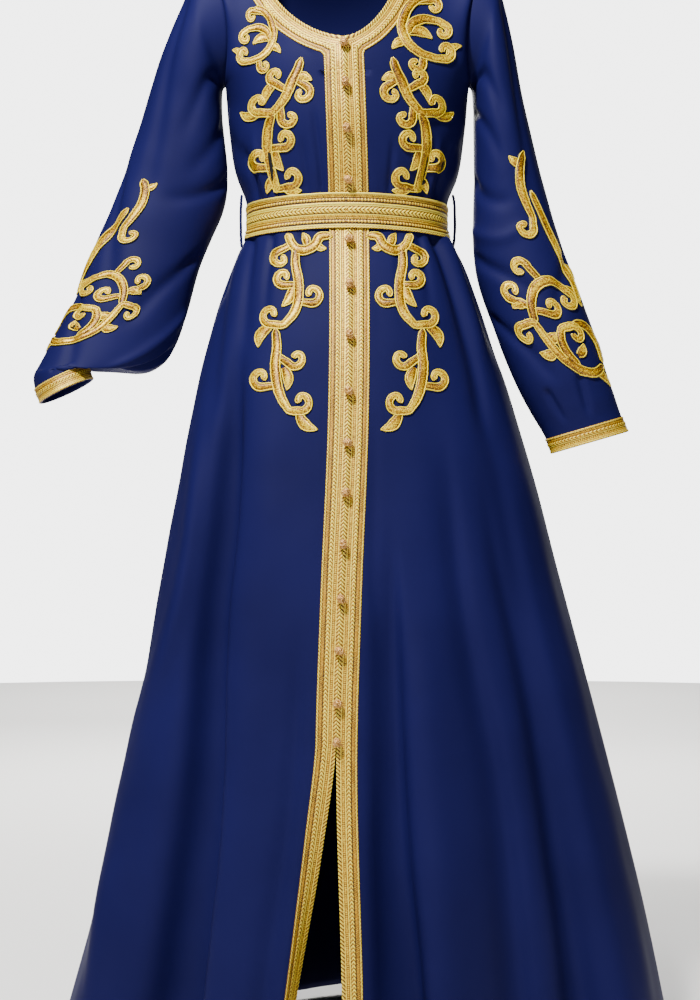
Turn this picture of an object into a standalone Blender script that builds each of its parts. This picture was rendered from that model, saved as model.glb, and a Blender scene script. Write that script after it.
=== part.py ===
"""A worn abaya with a V neck, a braided front opening, a braided belt and raised scroll embroidery.

Metres, +Z up. The front faces -Y and the wearer's left side is +X. The origin lies midway between
the shoulders, level with the top of the shoulder seams, where a wearer's shoulders hold the garment up.
"""

import math

import bmesh
import bpy
import numpy as np
from mathutils import Vector
from mathutils.bvhtree import BVHTree

# Driving dimensions
WALL = 0.002
SEAM_GAP = 0.0003
LAY_GAP = 0.0003
HEM = -1.500
UNDERARM = -0.200
NECK_BOTTOM = -0.155
NECK_BOTTOM_X = -0.004
SLIT_TOP = -1.087
BRAID = 0.027
BRAID_THICK = 0.0016
SHOULDER_TIP = 0.190
SHOULDER_TOP = 0.080
SHOULDER_DROP = 0.040
NECK_HALF = {-1: 0.118, 1: 0.084}
BACK_NECK_DROP = 0.030
CHEST_FRONT = 0.122
CHEST_BACK = 0.104
ARMHOLE_FRONT = 0.055
ARMHOLE_BACK = 0.058
SLEEVE_GAP = 0.0005
ROUNDNESS = 0.425
BELT_TOP = -0.3605
BELT_BOTTOM = -0.4085
BUTTON = 0.0062
STITCH_GAP = 0.0009
CUFF_COVER = 0.86
NECK_BRAID_GAP = 0.0015
BELT_GAP = 0.0010
LOOP_THREAD = 0.0028
LOOP_REACH = 0.0100
LOOP_ROOT_GAP = 0.0018
STEM_HALF = 4.4
RIDGE = 1.6
LONGEST_STEP = 16
LIFT_STEP = 0.012
SHOULDER_FOOT = -0.196
SKIRT_SHIFT = 0.003
FOREARM_TOP = -0.300
FOREARM_RADIUS = 0.062
CURL_TURN = math.radians(235)

# How finely the grids are cut
NECK_BRAID_STEPS = 32
BELT_STEPS = 40
LOOP_STEPS = 8
CURL_STEPS = 4
LEAF_STEPS = 3
ARM_STEPS = 9
FRONT_STEPS = 16
BACK_STEPS = 16
SHOULDER_SEAM_STEPS = 3
NECK_ROW = 2
BELT_ROW = 2

# Sections of the body: height, left edge, right edge, depth in front, depth behind
SECTIONS = (
    (-0.200, -0.1675, 0.1675, 0.1220, 0.1040),
    (-0.260, -0.1625, 0.1625, 0.1230, 0.1000),
    (-0.325, -0.1520, 0.1520, 0.1130, 0.0950),
    (-0.358, -0.1395, 0.1395, 0.1060, 0.0930),
    (-0.411, -0.1395, 0.1405, 0.1060, 0.0940),
    (-0.435, -0.1510, 0.1550, 0.1120, 0.1050),
    (-0.4945, -0.1740, 0.1790, 0.1280, 0.1240),
    (-0.563, -0.1930, 0.2015, 0.1430, 0.1430),
    (-0.700, -0.2220, 0.2456, 0.1630, 0.1680),
    (-0.908, -0.2608, 0.3008, 0.1900, 0.1980),
    (-1.115, -0.2950, 0.3560, 0.2160, 0.2260),
    (-1.322, -0.3450, 0.4070, 0.2400, 0.2530),
    (-1.500, -0.3880, 0.4440, 0.2550, 0.2700),
)

# Line where the two fronts meet: height, x
CLOSURE = (
    (0.000, -0.0040),
    (-0.155, -0.0040),
    (-0.358, 0.0020),
    (-0.660, 0.0020),
    (-0.900, -0.0075),
    (-1.087, -0.0130),
    (-1.410, -0.0060),
    (-1.500, -0.0050),
)

# Left edge of the slit: height, x of the line where the band turns in, degrees it turns
SLIT_LEFT = (
    (-1.000, -0.0370, 0.0),
    (-1.087, -0.0402, 0.0),
    (-1.200, -0.0530, 22.0),
    (-1.410, -0.0790, 58.0),
    (-1.500, -0.0910, 62.0),
)

# Rows of the body below the underarm
LOWER_ROWS = (
    -0.256, -0.310, -0.357, -0.412, -0.440, -0.490, -0.550, -0.630, -0.720,
    -0.810, -0.900, -1.000, -1.087, -1.190, -1.290, -1.400, -1.500,
)

# Folds of the skirt: angle at the top, angle at the hem, height of the top,
# depth at the hem (out is positive), half width in degrees
FOLDS = (
    (-57.0, -68.0, -0.48, 0.012, 8.0),
    (-47.0, -43.5, -0.44, -0.036, 7.5),
    (-38.0, -34.0, -0.44, 0.014, 6.0),
    (-18.0, -20.0, -0.70, 0.008, 10.0),
    (5.0, 4.5, -0.75, -0.013, 5.0),
    (13.0, 14.0, -0.75, 0.011, 7.0),
    (27.0, 30.0, -0.50, -0.013, 6.5),
    (54.0, 45.0, -0.42, -0.018, 6.5),
    (65.0, 62.0, -0.42, 0.012, 8.0),
    (108.0, 112.0, -0.44, -0.026, 9.0),
    (126.0, 130.0, -0.44, 0.016, 8.0),
    (146.0, 148.0, -0.44, -0.030, 9.0),
    (172.0, 176.0, -0.50, 0.018, 9.0),
    (200.0, 203.0, -0.44, -0.026, 9.0),
    (222.0, 224.0, -0.44, 0.014, 8.0),
    (243.0, 246.0, -0.44, -0.028, 8.0),
)

# Rings of the wearer's left sleeve: outer x, outer height, inner x, inner height, middle y, half depth
SLEEVE_LEFT = (
    (0.2060, -0.0520, 0.1715, -0.2035, 0.002, 0.060),
    (0.2175, -0.0920, 0.1730, -0.2140, 0.000, 0.063),
    (0.2275, -0.1400, 0.1740, -0.2360, -0.002, 0.064),
    (0.2380, -0.1950, 0.1745, -0.2620, -0.004, 0.063),
    (0.2485, -0.2450, 0.1750, -0.2960, -0.006, 0.061),
    (0.2600, -0.2960, 0.1750, -0.3350, -0.008, 0.059),
    (0.2715, -0.3430, 0.1735, -0.3760, -0.010, 0.058),
    (0.2830, -0.3880, 0.1730, -0.4180, -0.013, 0.058),
    (0.2970, -0.4280, 0.1770, -0.4580, -0.016, 0.059),
    (0.3110, -0.4680, 0.1870, -0.4980, -0.020, 0.059),
    (0.3250, -0.5100, 0.2000, -0.5370, -0.024, 0.058),
    (0.3400, -0.5530, 0.2150, -0.5770, -0.028, 0.056),
    (0.3515, -0.5920, 0.2320, -0.6170, -0.032, 0.052),
    (0.3625, -0.6240, 0.2500, -0.6500, -0.035, 0.044),
    (0.3725, -0.6530, 0.2690, -0.6830, -0.038, 0.036),
    (0.3820, -0.6770, 0.2790, -0.7070, -0.040, 0.035),
)

# Rings of the wearer's right sleeve, in the same columns
SLEEVE_RIGHT = (
    (-0.2100, -0.0500, -0.1715, -0.2035, 0.002, 0.060),
    (-0.2265, -0.0880, -0.1725, -0.2160, 0.000, 0.062),
    (-0.2450, -0.1300, -0.1715, -0.2400, -0.003, 0.060),
    (-0.2620, -0.1800, -0.1680, -0.2750, -0.006, 0.056),
    (-0.2770, -0.2320, -0.1650, -0.3120, -0.010, 0.053),
    (-0.2925, -0.2820, -0.1650, -0.3450, -0.014, 0.051),
    (-0.3070, -0.3280, -0.1720, -0.3780, -0.018, 0.050),
    (-0.3220, -0.3720, -0.1850, -0.4120, -0.024, 0.050),
    (-0.3380, -0.4120, -0.1975, -0.4460, -0.030, 0.050),
    (-0.3530, -0.4520, -0.2080, -0.4840, -0.038, 0.051),
    (-0.3660, -0.4920, -0.2185, -0.5200, -0.046, 0.052),
    (-0.3840, -0.5280, -0.2310, -0.5560, -0.055, 0.052),
    (-0.4010, -0.5620, -0.2500, -0.5860, -0.063, 0.052),
    (-0.4140, -0.5900, -0.2820, -0.5990, -0.070, 0.051),
    (-0.4190, -0.6030, -0.3380, -0.5820, -0.075, 0.046),
    (-0.4190, -0.6190, -0.3480, -0.5860, -0.079, 0.044),
    (-0.4100, -0.6410, -0.3410, -0.6080, -0.086, 0.044),
)

# Braid across its width: distance from the edge, height above the cloth
BRAID_PROFILE = (
    (0.0000, 0.0014),
    (0.0035, 0.0016),
    (0.0060, 0.0010),
    (0.0135, 0.0014),
    (0.0205, 0.0010),
    (0.0235, 0.0016),
    (0.0270, 0.0014),
)

# The same braid behind the neck, in fewer steps
NECK_PROFILE = (
    (0.0000, 0.0016),
    (0.0090, 0.0012),
    (0.0180, 0.0012),
    (0.0270, 0.0016),
)

# Belt across its width: share of the width from the top, height above its inside
BELT_PROFILE = (
    (0.00, 0.0020),
    (0.08, 0.0024),
    (0.15, 0.0016),
    (0.30, 0.0026),
    (0.42, 0.0018),
    (0.60, 0.0018),
    (0.72, 0.0026),
    (0.86, 0.0016),
    (1.00, 0.0022),
)

# Heights of the ball buttons
BUTTON_HEIGHTS = (
    -0.1640, -0.2170, -0.2780, -0.3450, -0.4230, -0.4840, -0.5520, -0.6270,
    -0.6950, -0.7600, -0.8270, -0.8975, -0.9640, -1.0310, -1.0800,
)

# Embroidery in millimetres. A stem is a line of points; a curl is where it leaves the stem,
# its eye, the eye's radius and the hand it turns to; a leaf is root, tip, half width and bend.
SHOULDER_STEMS = (
    ((108, -92), (90, -112), (77, -138), (78, -162), (92, -180), (113, -186), (134, -180), (147, -168)),
)
SHOULDER_CURLS = (
    (98, -183, 86, -196, 7, 1),
    (128, -183, 130, -156, 9, 1),
    (84, -124, 108, -128, 9, -1),
    (100, -100, 124, -100, 9, -1),
)
SHOULDER_LEAVES = (
    (80, -160, 64, -170, 4.5, 3),
    (140, -176, 150, -156, 4.5, 3),
    (79, -144, 104, -152, 4.5, 3),
)
BODICE_STEMS = (
    ((62, -192), (71, -208), (84, -230), (100, -252), (102, -281), (95, -310), (91, -336), (87, -354)),
    ((100, -251), (113, -256), (127, -249), (141, -250)),
)
BODICE_CURLS = (
    (88, -236, 56, -232, 8, 1),
    (76, -218, 97, -212, 7, -1),
    (122, -252, 121, -228, 8, 1),
    (101, -262, 76, -265, 8, -1),
    (101, -292, 81, -293, 8, 1),
    (94, -326, 118, -314, 9, 1),
    (90, -340, 68, -342, 7, -1),
)
BODICE_LEAVES = (
    (72, -210, 48, -212, 4.5, -3),
    (99, -252, 107, -224, 4.0, 3),
    (97, -308, 79, -322, 4.5, -3),
    (90, -342, 107, -351, 4.0, -2),
)
SKIRT_STEMS = (
    (
        (35, -420), (50, -427), (63, -438), (73, -460), (73, -490), (73, -515), (83, -541),
        (95, -558), (98, -590), (95, -625), (84, -650), (64, -666), (50, -688),
    ),
)
SKIRT_CURLS = (
    (73, -470, 96, -448, 8, 1),
    (73, -500, 94, -477, 8, 1),
    (74, -520, 50, -500, 9, -1),
    (88, -548, 102, -524, 9, 1),
    (98, -604, 72, -584, 9, -1),
    (95, -630, 117, -608, 9, 1),
    (78, -656, 66, -637, 7, -1),
)
SKIRT_LEAVES = (
    (60, -434, 100, -423, 4.5, 3),
    (74, -508, 92, -512, 4.0, -3),
    (90, -550, 118, -566, 5.0, 4),
    (97, -600, 80, -618, 4.0, -3),
    (73, -474, 52, -462, 4.0, 3),
)
FOREARM_STEMS = (
    ((20, -300), (12, -326), (14, -356), (28, -384), (50, -404), (66, -430), (66, -458), (52, -478)),
    ((66, -440), (54, -470), (26, -466), (0, -486), (-18, -506), (-30, -528), (-38, -556), (-26, -580),
     (4, -598), (32, -600), (56, -584), (66, -556), (58, -526)),
    ((-38, -556), (-52, -572), (-66, -580)),
    ((32, -600), (48, -606), (62, -594)),
)
FOREARM_CURLS = (
    (13, -350, 38, -350, 9, -1),
    (30, -388, 16, -408, 8, -1),
    (30, -468, 6, -446, 9, -1),
    (2, -484, -24, -470, 9, -1),
    (-24, -516, 4, -516, 8, 1),
    (-34, -534, -58, -540, 9, 1),
    (58, -530, 26, -540, 11, -1),
    (8, -597, 4, -566, 9, 1),
)
FOREARM_LEAVES = (
    (14, -322, 32, -310, 4.0, 3),
    (-10, -496, -36, -492, 4.5, 3),
    (40, -466, 30, -490, 4.5, 3),
    (65, -556, 40, -566, 4.5, -3),
    (-36, -548, -14, -540, 4.0, 3),
)

SCROLLS = {
    "shoulder": (SHOULDER_STEMS, SHOULDER_CURLS, SHOULDER_LEAVES),
    "bodice": (BODICE_STEMS, BODICE_CURLS, BODICE_LEAVES),
    "skirt": (SKIRT_STEMS, SKIRT_CURLS, SKIRT_LEAVES),
    "forearm": (FOREARM_STEMS, FOREARM_CURLS, FOREARM_LEAVES),
}

# Colour, metallic and roughness of each finish
FINISHES = {
    "royal blue crepe": ((0.022, 0.030, 0.145, 1.0), 0.0, 0.62),
    "gold braid": ((0.72, 0.56, 0.28, 1.0), 0.35, 0.45),
    "gold thread": ((0.70, 0.42, 0.06, 1.0), 0.4, 0.4),
    "copper gold thread": ((0.52, 0.30, 0.12, 1.0), 0.4, 0.42),
}


def clear_scene():
    for obj in list(bpy.data.objects):
        bpy.data.objects.remove(obj, do_unlink=True)


def make_material(name):
    colour, metallic, roughness = FINISHES[name]
    material = bpy.data.materials.new(name)
    material.use_nodes = True
    shader = material.node_tree.nodes["Principled BSDF"]
    shader.inputs["Base Color"].default_value = colour
    shader.inputs["Metallic"].default_value = metallic
    shader.inputs["Roughness"].default_value = roughness
    return material


def along(table, column, height):
    """A column of a table that is sorted downwards, read smoothly at a height."""
    rows = np.array(table, float)[::-1]
    heights = rows[:, 0]
    values = rows[:, column]
    slopes = np.gradient(values, heights)
    height = min(max(height, heights[0]), heights[-1])
    i = min(int(np.searchsorted(heights, height, side="right")) - 1, len(heights) - 2)
    span = heights[i + 1] - heights[i]
    t = (height - heights[i]) / span
    start = (1 + 2 * t) * (1 - t) ** 2 * values[i] + t * (1 - t) ** 2 * span * slopes[i]
    return start + t * t * (3 - 2 * t) * values[i + 1] + t * t * (t - 1) * span * slopes[i + 1]


def ease(t):
    t = min(max(t, 0.0), 1.0)
    return t * t * (3 - 2 * t)


def shoulder_height(x):
    """Height of the shoulder seam above a distance from the middle."""
    share = (abs(x) - SHOULDER_TOP) / (SHOULDER_TIP - SHOULDER_TOP)
    return -SHOULDER_DROP * min(max(share, 0.0), 1.0)


def arm_reach(share):
    """Distance of the armhole from the middle, from the underarm at 0 to the shoulder tip at 1."""
    waisted = 0.1675 + (SHOULDER_TIP - 0.1675) * share
    return waisted - 0.056 * share * (1 - share)


def armhole_point(step, side, behind):
    """A point of the armhole's edge, counted from the underarm up."""
    angle = math.pi * step / ARM_STEPS
    share = (1 - math.cos(angle)) / 2
    x = arm_reach(share)
    z = UNDERARM + (shoulder_height(x) - UNDERARM) * share
    depth = ARMHOLE_BACK if behind else -ARMHOLE_FRONT
    return Vector((side * x, depth * math.sin(angle), z))


def chest_depth(x, z, behind):
    """Distance of the cloth in front of or behind the shoulder seam, above the underarm."""
    share = min(max((z - UNDERARM) / (shoulder_height(x) - UNDERARM), 0.0), 1.0)
    reach = min(abs(x) / arm_reach(share), 1.0)
    power = 2.0 if behind else 1.6
    middle = (CHEST_BACK if behind else CHEST_FRONT) * (1 - share**power) ** (1 / power)
    edge = (ARMHOLE_BACK if behind else ARMHOLE_FRONT) * 2 * math.sqrt(share * (1 - share))
    fullness = ROUNDNESS + 0.175 * ease(share / 0.35)
    return middle * (1 - reach * reach) ** fullness + edge * reach**6


def fold_relief(angle, z):
    """How far the skirt's folds stand out at an angle in degrees, 0 in front and 90 at the wearer's left."""
    relief = 0.0
    for top_angle, hem_angle, top, depth, width in FOLDS:
        if z > top:
            continue
        share = (top - z) / (top - HEM)
        centre = top_angle + (hem_angle - top_angle) * share
        away = (angle - centre + 180) % 360 - 180
        relief += depth * share**1.1 * math.exp(-((away / width) ** 2))
    return relief


def body_point(angle, z):
    """The cloth's outer face below the underarm."""
    left = along(SECTIONS, 1, z)
    right = along(SECTIONS, 2, z)
    middle = (left + right) / 2
    half = (right - left) / 2
    turn = math.radians(angle)
    across = math.sin(turn)
    ahead = math.cos(turn)
    depth = along(SECTIONS, 3 if ahead > 0 else 4, z)
    relief = fold_relief(angle, z)
    x = middle + (half + relief) * across
    y = -(depth + relief) * math.copysign(abs(ahead) ** (2 * ROUNDNESS), ahead)
    return Vector((x, y, z))


def angle_of(x, z):
    left = along(SECTIONS, 1, z)
    right = along(SECTIONS, 2, z)
    share = (x - (left + right) / 2) / ((right - left) / 2)
    return math.degrees(math.asin(min(max(share, -1.0), 1.0)))


def front_point(x, z):
    """The outer face of the front at a place seen from the front."""
    if z > UNDERARM:
        return Vector((x, -chest_depth(x, z, False), z))
    return body_point(angle_of(x, z), z)


def neck_point(side, angle):
    """The front neckline, from its lowest point at 0 to the shoulder seam at 90 degrees."""
    top_x = NECK_BOTTOM_X + side * NECK_HALF[side]
    top = shoulder_height(top_x)
    turn = math.radians(angle)
    x = NECK_BOTTOM_X + side * NECK_HALF[side] * math.sin(turn) ** (2 / 1.8)
    z = top - (top - NECK_BOTTOM) * math.cos(turn) ** (2 / 1.8)
    return Vector((x, 0, z))


def edge_and_across(side, row):
    """The front's edge above the underarm, and the direction of the braid's width there."""
    if row == 0:
        return Vector((along(CLOSURE, 1, UNDERARM), 0, UNDERARM)), Vector((side, 0, -0.15))
    if row == 1:
        z = (UNDERARM + NECK_BOTTOM) / 2
        return Vector((along(CLOSURE, 1, z), 0, z)), Vector((side, 0, -0.52))
    if row == NECK_ROW:
        return neck_point(side, 0), Vector((side, 0, -1.0))
    angle = 90 * (row - NECK_ROW) / (ARM_STEPS - NECK_ROW)
    edge = neck_point(side, angle)
    if row == ARM_STEPS:
        tip = armhole_point(ARM_STEPS, side, False)
        return edge, Vector((side, 0, (tip.z - edge.z) / abs(tip.x - edge.x))).normalized()
    run = neck_point(side, angle + 1) - neck_point(side, angle - 1)
    return edge, Vector((side * run.z, 0, -abs(run.x))).normalized()


def front_rows(side):
    """Points of one front, from the shoulder seam down and from the closing edge to the side seam."""
    rows = []
    steps = [BRAID * i / 2 for i in range(3)]
    spread = FRONT_STEPS - 2
    for row in range(ARM_STEPS, -1, -1):
        edge, across = edge_and_across(side, row)
        arm = armhole_point(row, side, False)
        points = [edge + across * step for step in steps]
        for i in range(1, spread + 1):
            share = math.sin(math.radians(10 + 80 * i / spread)) - math.sin(math.radians(10))
            share /= 1 - math.sin(math.radians(10))
            points.append(points[2].lerp(arm, share))
        line = [front_point(p.x, p.z) for p in points[:-1]]
        rows.append(line + [arm])
    for z in LOWER_ROWS:
        rows.append(front_row(side, z, steps, spread))
    for line in rows:
        for point in line:
            point.y -= SEAM_GAP / 2
        if line[0].z < NECK_BOTTOM + 0.001 and line[0].z > SLIT_TOP - 0.001:
            line[0].x += side * SEAM_GAP / 2
    return rows


def front_row(side, z, steps, spread):
    closure = along(CLOSURE, 1, z)
    if side < 0 and z < SLIT_TOP:
        fold_x = along(SLIT_LEFT, 1, z)
        turn = math.radians(along(SLIT_LEFT, 2, z))
        fold = front_point(fold_x, z)
        line = []
        for step in steps[:2]:
            reach = BRAID - step
            line.append(fold + Vector((reach * math.cos(turn), reach * math.sin(turn), 0)))
        line.append(fold)
    else:
        line = [front_point(closure + side * step, z) for step in steps]
    start = side * angle_of(line[2].x, z)
    for i in range(1, spread + 1):
        line.append(body_point(side * (start + (90 - start) * i / spread), z))
    return line


def back_neck():
    """Middle and half width of the back neckline."""
    right_end = NECK_BOTTOM_X - NECK_HALF[-1]
    left_end = NECK_BOTTOM_X + NECK_HALF[1]
    return (left_end + right_end) / 2, (left_end - right_end) / 2


def back_rows():
    """Points of the back, from the shoulder seams down and from the wearer's left side to the right."""
    rows = []
    even = [math.cos(math.pi * i / BACK_STEPS) for i in range(BACK_STEPS + 1)]
    middle, half = back_neck()
    at_neck = []
    for i in range(BACK_STEPS + 1):
        if i <= SHOULDER_SEAM_STEPS:
            x = SHOULDER_TIP + (middle + half - SHOULDER_TIP) * i / SHOULDER_SEAM_STEPS
        elif i < BACK_STEPS - SHOULDER_SEAM_STEPS:
            x = middle + half * math.cos(math.pi * (i - SHOULDER_SEAM_STEPS) / (BACK_STEPS - 2 * SHOULDER_SEAM_STEPS))
        else:
            x = -SHOULDER_TIP + (middle - half + SHOULDER_TIP) * (BACK_STEPS - i) / SHOULDER_SEAM_STEPS
        at_neck.append(x / SHOULDER_TIP)
    for row in range(ARM_STEPS, -1, -1):
        share = (1 - math.cos(math.pi * row / ARM_STEPS)) / 2
        line = []
        for low, high in zip(even, at_neck):
            x = (low + (high - low) * share) * arm_reach(share)
            top = shoulder_height(x)
            scoop = 1 - ((x - middle) / half) ** 2
            if scoop > 0:
                top = min(top, -BACK_NECK_DROP * scoop**0.5 - 0.0001)
            z = UNDERARM + (top - UNDERARM) * share
            line.append(Vector((x, chest_depth(x, z, True), z)))
        line[0] = armhole_point(row, 1, True)
        line[-1] = armhole_point(row, -1, True)
        rows.append(line)
    for z in LOWER_ROWS:
        rows.append([body_point(90 + 180 * i / BACK_STEPS, z) for i in range(BACK_STEPS + 1)])
    for line in rows:
        for point in line:
            point.y += SEAM_GAP / 2
    return rows


def normals_of(rows, closed, away):
    """The outward direction at each point of a grid. away says which way is out, as 1 or -1."""
    grid = np.array([[tuple(p) for p in line] for line in rows])
    if closed:
        wrapped = np.concatenate([grid[-1:], grid, grid[:1]])
        down = (wrapped[2:] - wrapped[:-2]) / 2
    else:
        down = np.gradient(grid, axis=0)
    along_row = np.gradient(grid, axis=1)
    normal = np.cross(down, along_row) * away
    return normal / np.linalg.norm(normal, axis=2, keepdims=True)


def new_object(name, mesh, material, collection):
    obj = bpy.data.objects.new(name, mesh)
    obj.data.materials.append(material)
    collection.objects.link(obj)
    return obj


def face_out(mesh):
    bmesh.ops.recalc_face_normals(mesh, faces=mesh.faces)
    if mesh.calc_volume(signed=True) < 0:
        bmesh.ops.reverse_faces(mesh, faces=mesh.faces)


def shell(name, outer, inner, closed, material, collection):
    """A closed wall between an outer and an inner grid. A closed grid's last row meets its first."""
    mesh = bmesh.new()
    outer_verts = [[mesh.verts.new(tuple(p)) for p in line] for line in outer]
    inner_verts = [[mesh.verts.new(tuple(p)) for p in line] for line in inner]
    count = len(outer)
    for i in range(count if closed else count - 1):
        for grid in (outer_verts, inner_verts):
            first = grid[i]
            second = grid[(i + 1) % count]
            for j in range(len(first) - 1):
                mesh.faces.new((first[j], second[j], second[j + 1], first[j + 1]))
        for end in (0, -1):
            outside = (outer_verts[i][end], outer_verts[(i + 1) % count][end])
            inside = (inner_verts[(i + 1) % count][end], inner_verts[i][end])
            mesh.faces.new(outside + inside)
    if not closed:
        for end in (0, -1):
            if len(outer_verts[end]) == len(inner_verts[end]):
                for j in range(len(outer_verts[end]) - 1):
                    pair = outer_verts[end][j : j + 2]
                    mesh.faces.new((pair[0], pair[1], inner_verts[end][j + 1], inner_verts[end][j]))
            else:
                mesh.faces.new(outer_verts[end] + inner_verts[end][::-1])
    face_out(mesh)
    data = bpy.data.meshes.new(name)
    mesh.to_mesh(data)
    mesh.free()
    data.shade_smooth()
    data.set_sharp_from_angle(angle=math.radians(50))
    return new_object(name, data, material, collection)


def inside_of(rows, normals):
    return [[Vector(p) - Vector(n) * WALL for p, n in zip(*pair)] for pair in zip(rows, normals)]


def straighten(normals, at, axis):
    """Turns the directions along a seam into the seam's plane, so that two walls end face to face."""
    normals[at + (axis,)] = 0
    normals[at] /= np.linalg.norm(normals[at], axis=-1, keepdims=True)


def make_front(name, side, material, collection):
    rows = front_rows(side)
    normals = normals_of(rows, False, side)
    above = slice(0, ARM_STEPS + 1)
    below = slice(ARM_STEPS, None)
    normals[above, -1, 0] = side * np.maximum(normals[above, -1, 0] * side, 0)
    straighten(normals, (slice(0, 1), slice(None)), 1)
    straighten(normals, (below, slice(-1, None)), 1)
    closing = [i for i, line in enumerate(rows) if SLIT_TOP - 0.001 < line[0].z < NECK_BOTTOM + 0.001]
    straighten(normals, (slice(closing[0], closing[-1] + 1), slice(0, 1)), 0)
    shell(name, rows, inside_of(rows, normals), False, material, collection)
    return rows, normals


def make_back(name, material, collection):
    rows = back_rows()
    normals = normals_of(rows, False, 1)
    above = slice(0, ARM_STEPS + 1)
    below = slice(ARM_STEPS, None)
    for end, side in ((0, 1), (-1, -1)):
        normals[above, end, 0] = side * np.maximum(normals[above, end, 0] * side, 0)
    seam = [j for j, point in enumerate(rows[0]) if abs(point.y - SEAM_GAP / 2) < 0.0005]
    for j in seam:
        straighten(normals, (slice(0, 1), slice(j, j + 1)), 1)
    straighten(normals, (below, slice(0, 1)), 1)
    straighten(normals, (below, slice(-1, None)), 1)
    shell(name, rows, inside_of(rows, normals), False, material, collection)
    return rows, normals


def sleeve_lines(rings, side, around):
    """Points of a sleeve as lines from the armhole to the cuff, counted round the arm."""
    lines = []
    for step in range(around):
        turn = 2 * math.pi * step / around
        start = armhole_point(ARM_STEPS * abs(1 - turn / math.pi), side, turn <= math.pi)
        start.x += side * SLEEVE_GAP
        line = [start]
        for outer_x, outer_z, inner_x, inner_z, middle_y, half_depth in rings:
            outer = Vector((outer_x, middle_y, outer_z))
            inner = Vector((inner_x, middle_y, inner_z))
            point = (outer + inner) / 2 + (outer - inner) / 2 * math.cos(turn)
            point.y += half_depth * math.sin(turn)
            line.append(point)
        lines.append(line)
    return lines


def make_sleeve(name, rings, side, material, collection):
    lines = sleeve_lines(rings, side, 2 * ARM_STEPS)
    normals = normals_of(lines, True, -side)
    start = normals[:, 0]
    start[:, 0] = side * np.minimum(start[:, 0] * side, 0)
    start /= np.linalg.norm(start, axis=1, keepdims=True)
    shell(name, lines, inside_of(lines, normals), True, material, collection)
    return lines


def make_cuff_braid(name, lines, side, material, collection):
    """The braid on the straight end of a sleeve."""
    ends = [line[-2:] for line in lines]
    normals = normals_of(ends, True, -side)
    make_braid(name, ends, normals, (1, 0), CUFF_COVER, True, material, collection)


def lifted(point, normal, height):
    return Vector(point) + Vector(normal) * height


def make_braid(name, rows, normals, columns, cover, closed, material, collection):
    """A ribbed braid on a share of the named columns of a panel's points, from the edge."""
    outer = []
    inner = []
    last = len(columns) - 1
    for line, directions in zip(rows, normals):
        picked = [(Vector(line[c]), Vector(directions[c])) for c in columns]
        picked[-1] = tuple(a.lerp(b, cover) for a, b in zip(picked[-2], picked[-1]))
        inner.append([lifted(p, n, LAY_GAP) for p, n in picked])
        raised = []
        for distance, height in BRAID_PROFILE:
            place = distance / BRAID * last
            i = min(int(place), last - 1)
            point = picked[i][0].lerp(picked[i + 1][0], place - i)
            direction = picked[i][1].lerp(picked[i + 1][1], place - i)
            raised.append(lifted(point, direction, LAY_GAP + height))
        outer.append(raised)
    shell(name, outer, inner, closed, material, collection)


def make_neck_braid(name, rows, material, collection):
    """The braid round the back of the neck, from one shoulder seam to the other."""
    tree = surface_tree(rows[: ARM_STEPS + 2])
    middle, half = back_neck()
    outer = []
    inner = []
    for i in range(NECK_BRAID_STEPS + 1):
        turn = math.pi * (1 - math.cos(math.pi * i / NECK_BRAID_STEPS)) / 2
        edge_x = middle + half * math.cos(turn)
        edge_z = min(shoulder_height(edge_x), -BACK_NECK_DROP * math.sin(turn))
        slope = SHOULDER_DROP / (SHOULDER_TIP - SHOULDER_TOP)
        across = Vector((math.cos(turn), 0, -math.sin(turn) - slope * abs(math.cos(turn)))).normalized()
        line = []
        for distance, height in NECK_PROFILE:
            place = Vector((edge_x, 0, edge_z)) + across * distance
            place.z = min(place.z, shoulder_height(place.x))
            place.y = chest_depth(place.x, place.z, True)
            hit, direction, _, _ = tree.find_nearest(place)
            line.append((hit, upward(direction), height))
        outer.append([hit + direction * (NECK_BRAID_GAP + height) for hit, direction, height in line])
        inner.append([hit + direction * NECK_BRAID_GAP for hit, direction, height in line])
    shell(name, outer, inner, False, material, collection)


def upward(direction):
    return direction if direction.z > 0 else -direction


def make_belt(name, material, collection):
    """The belt lies just clear of the cloth, and of the braid in front."""
    outer = []
    inner = []
    for i in range(BELT_STEPS):
        angle = 360 * i / BELT_STEPS
        top = body_point(angle, LOWER_ROWS[BELT_ROW])
        bottom = body_point(angle, LOWER_ROWS[BELT_ROW + 1])
        out = Vector((math.sin(math.radians(angle)), -math.cos(math.radians(angle)), 0))
        over_braid = 1 - ease((abs(top.x - along(CLOSURE, 1, top.z)) - 0.034) / 0.02)
        if math.cos(math.radians(angle)) < 0:
            over_braid = 0
        clear = BELT_GAP + (BRAID_THICK + SEAM_GAP) * over_braid
        ends = [(z - bottom.z) / (top.z - bottom.z) for z in (BELT_TOP, BELT_BOTTOM)]
        high, low = [bottom.lerp(top, end) + out * clear for end in ends]
        inner.append([high, low])
        outer.append([high.lerp(low, share) + out * height for share, height in BELT_PROFILE])
    shell(name, outer, inner, True, material, collection)


def side_reach(side, z):
    """Distance of the side seam from the middle, on the straight stretch between two rows."""
    above = min(row for row in LOWER_ROWS if row > z)
    below = max(row for row in LOWER_ROWS if row <= z)
    share = (z - below) / (above - below)
    return abs(body_point(90 * side, below).lerp(body_point(90 * side, above), share).x)


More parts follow.
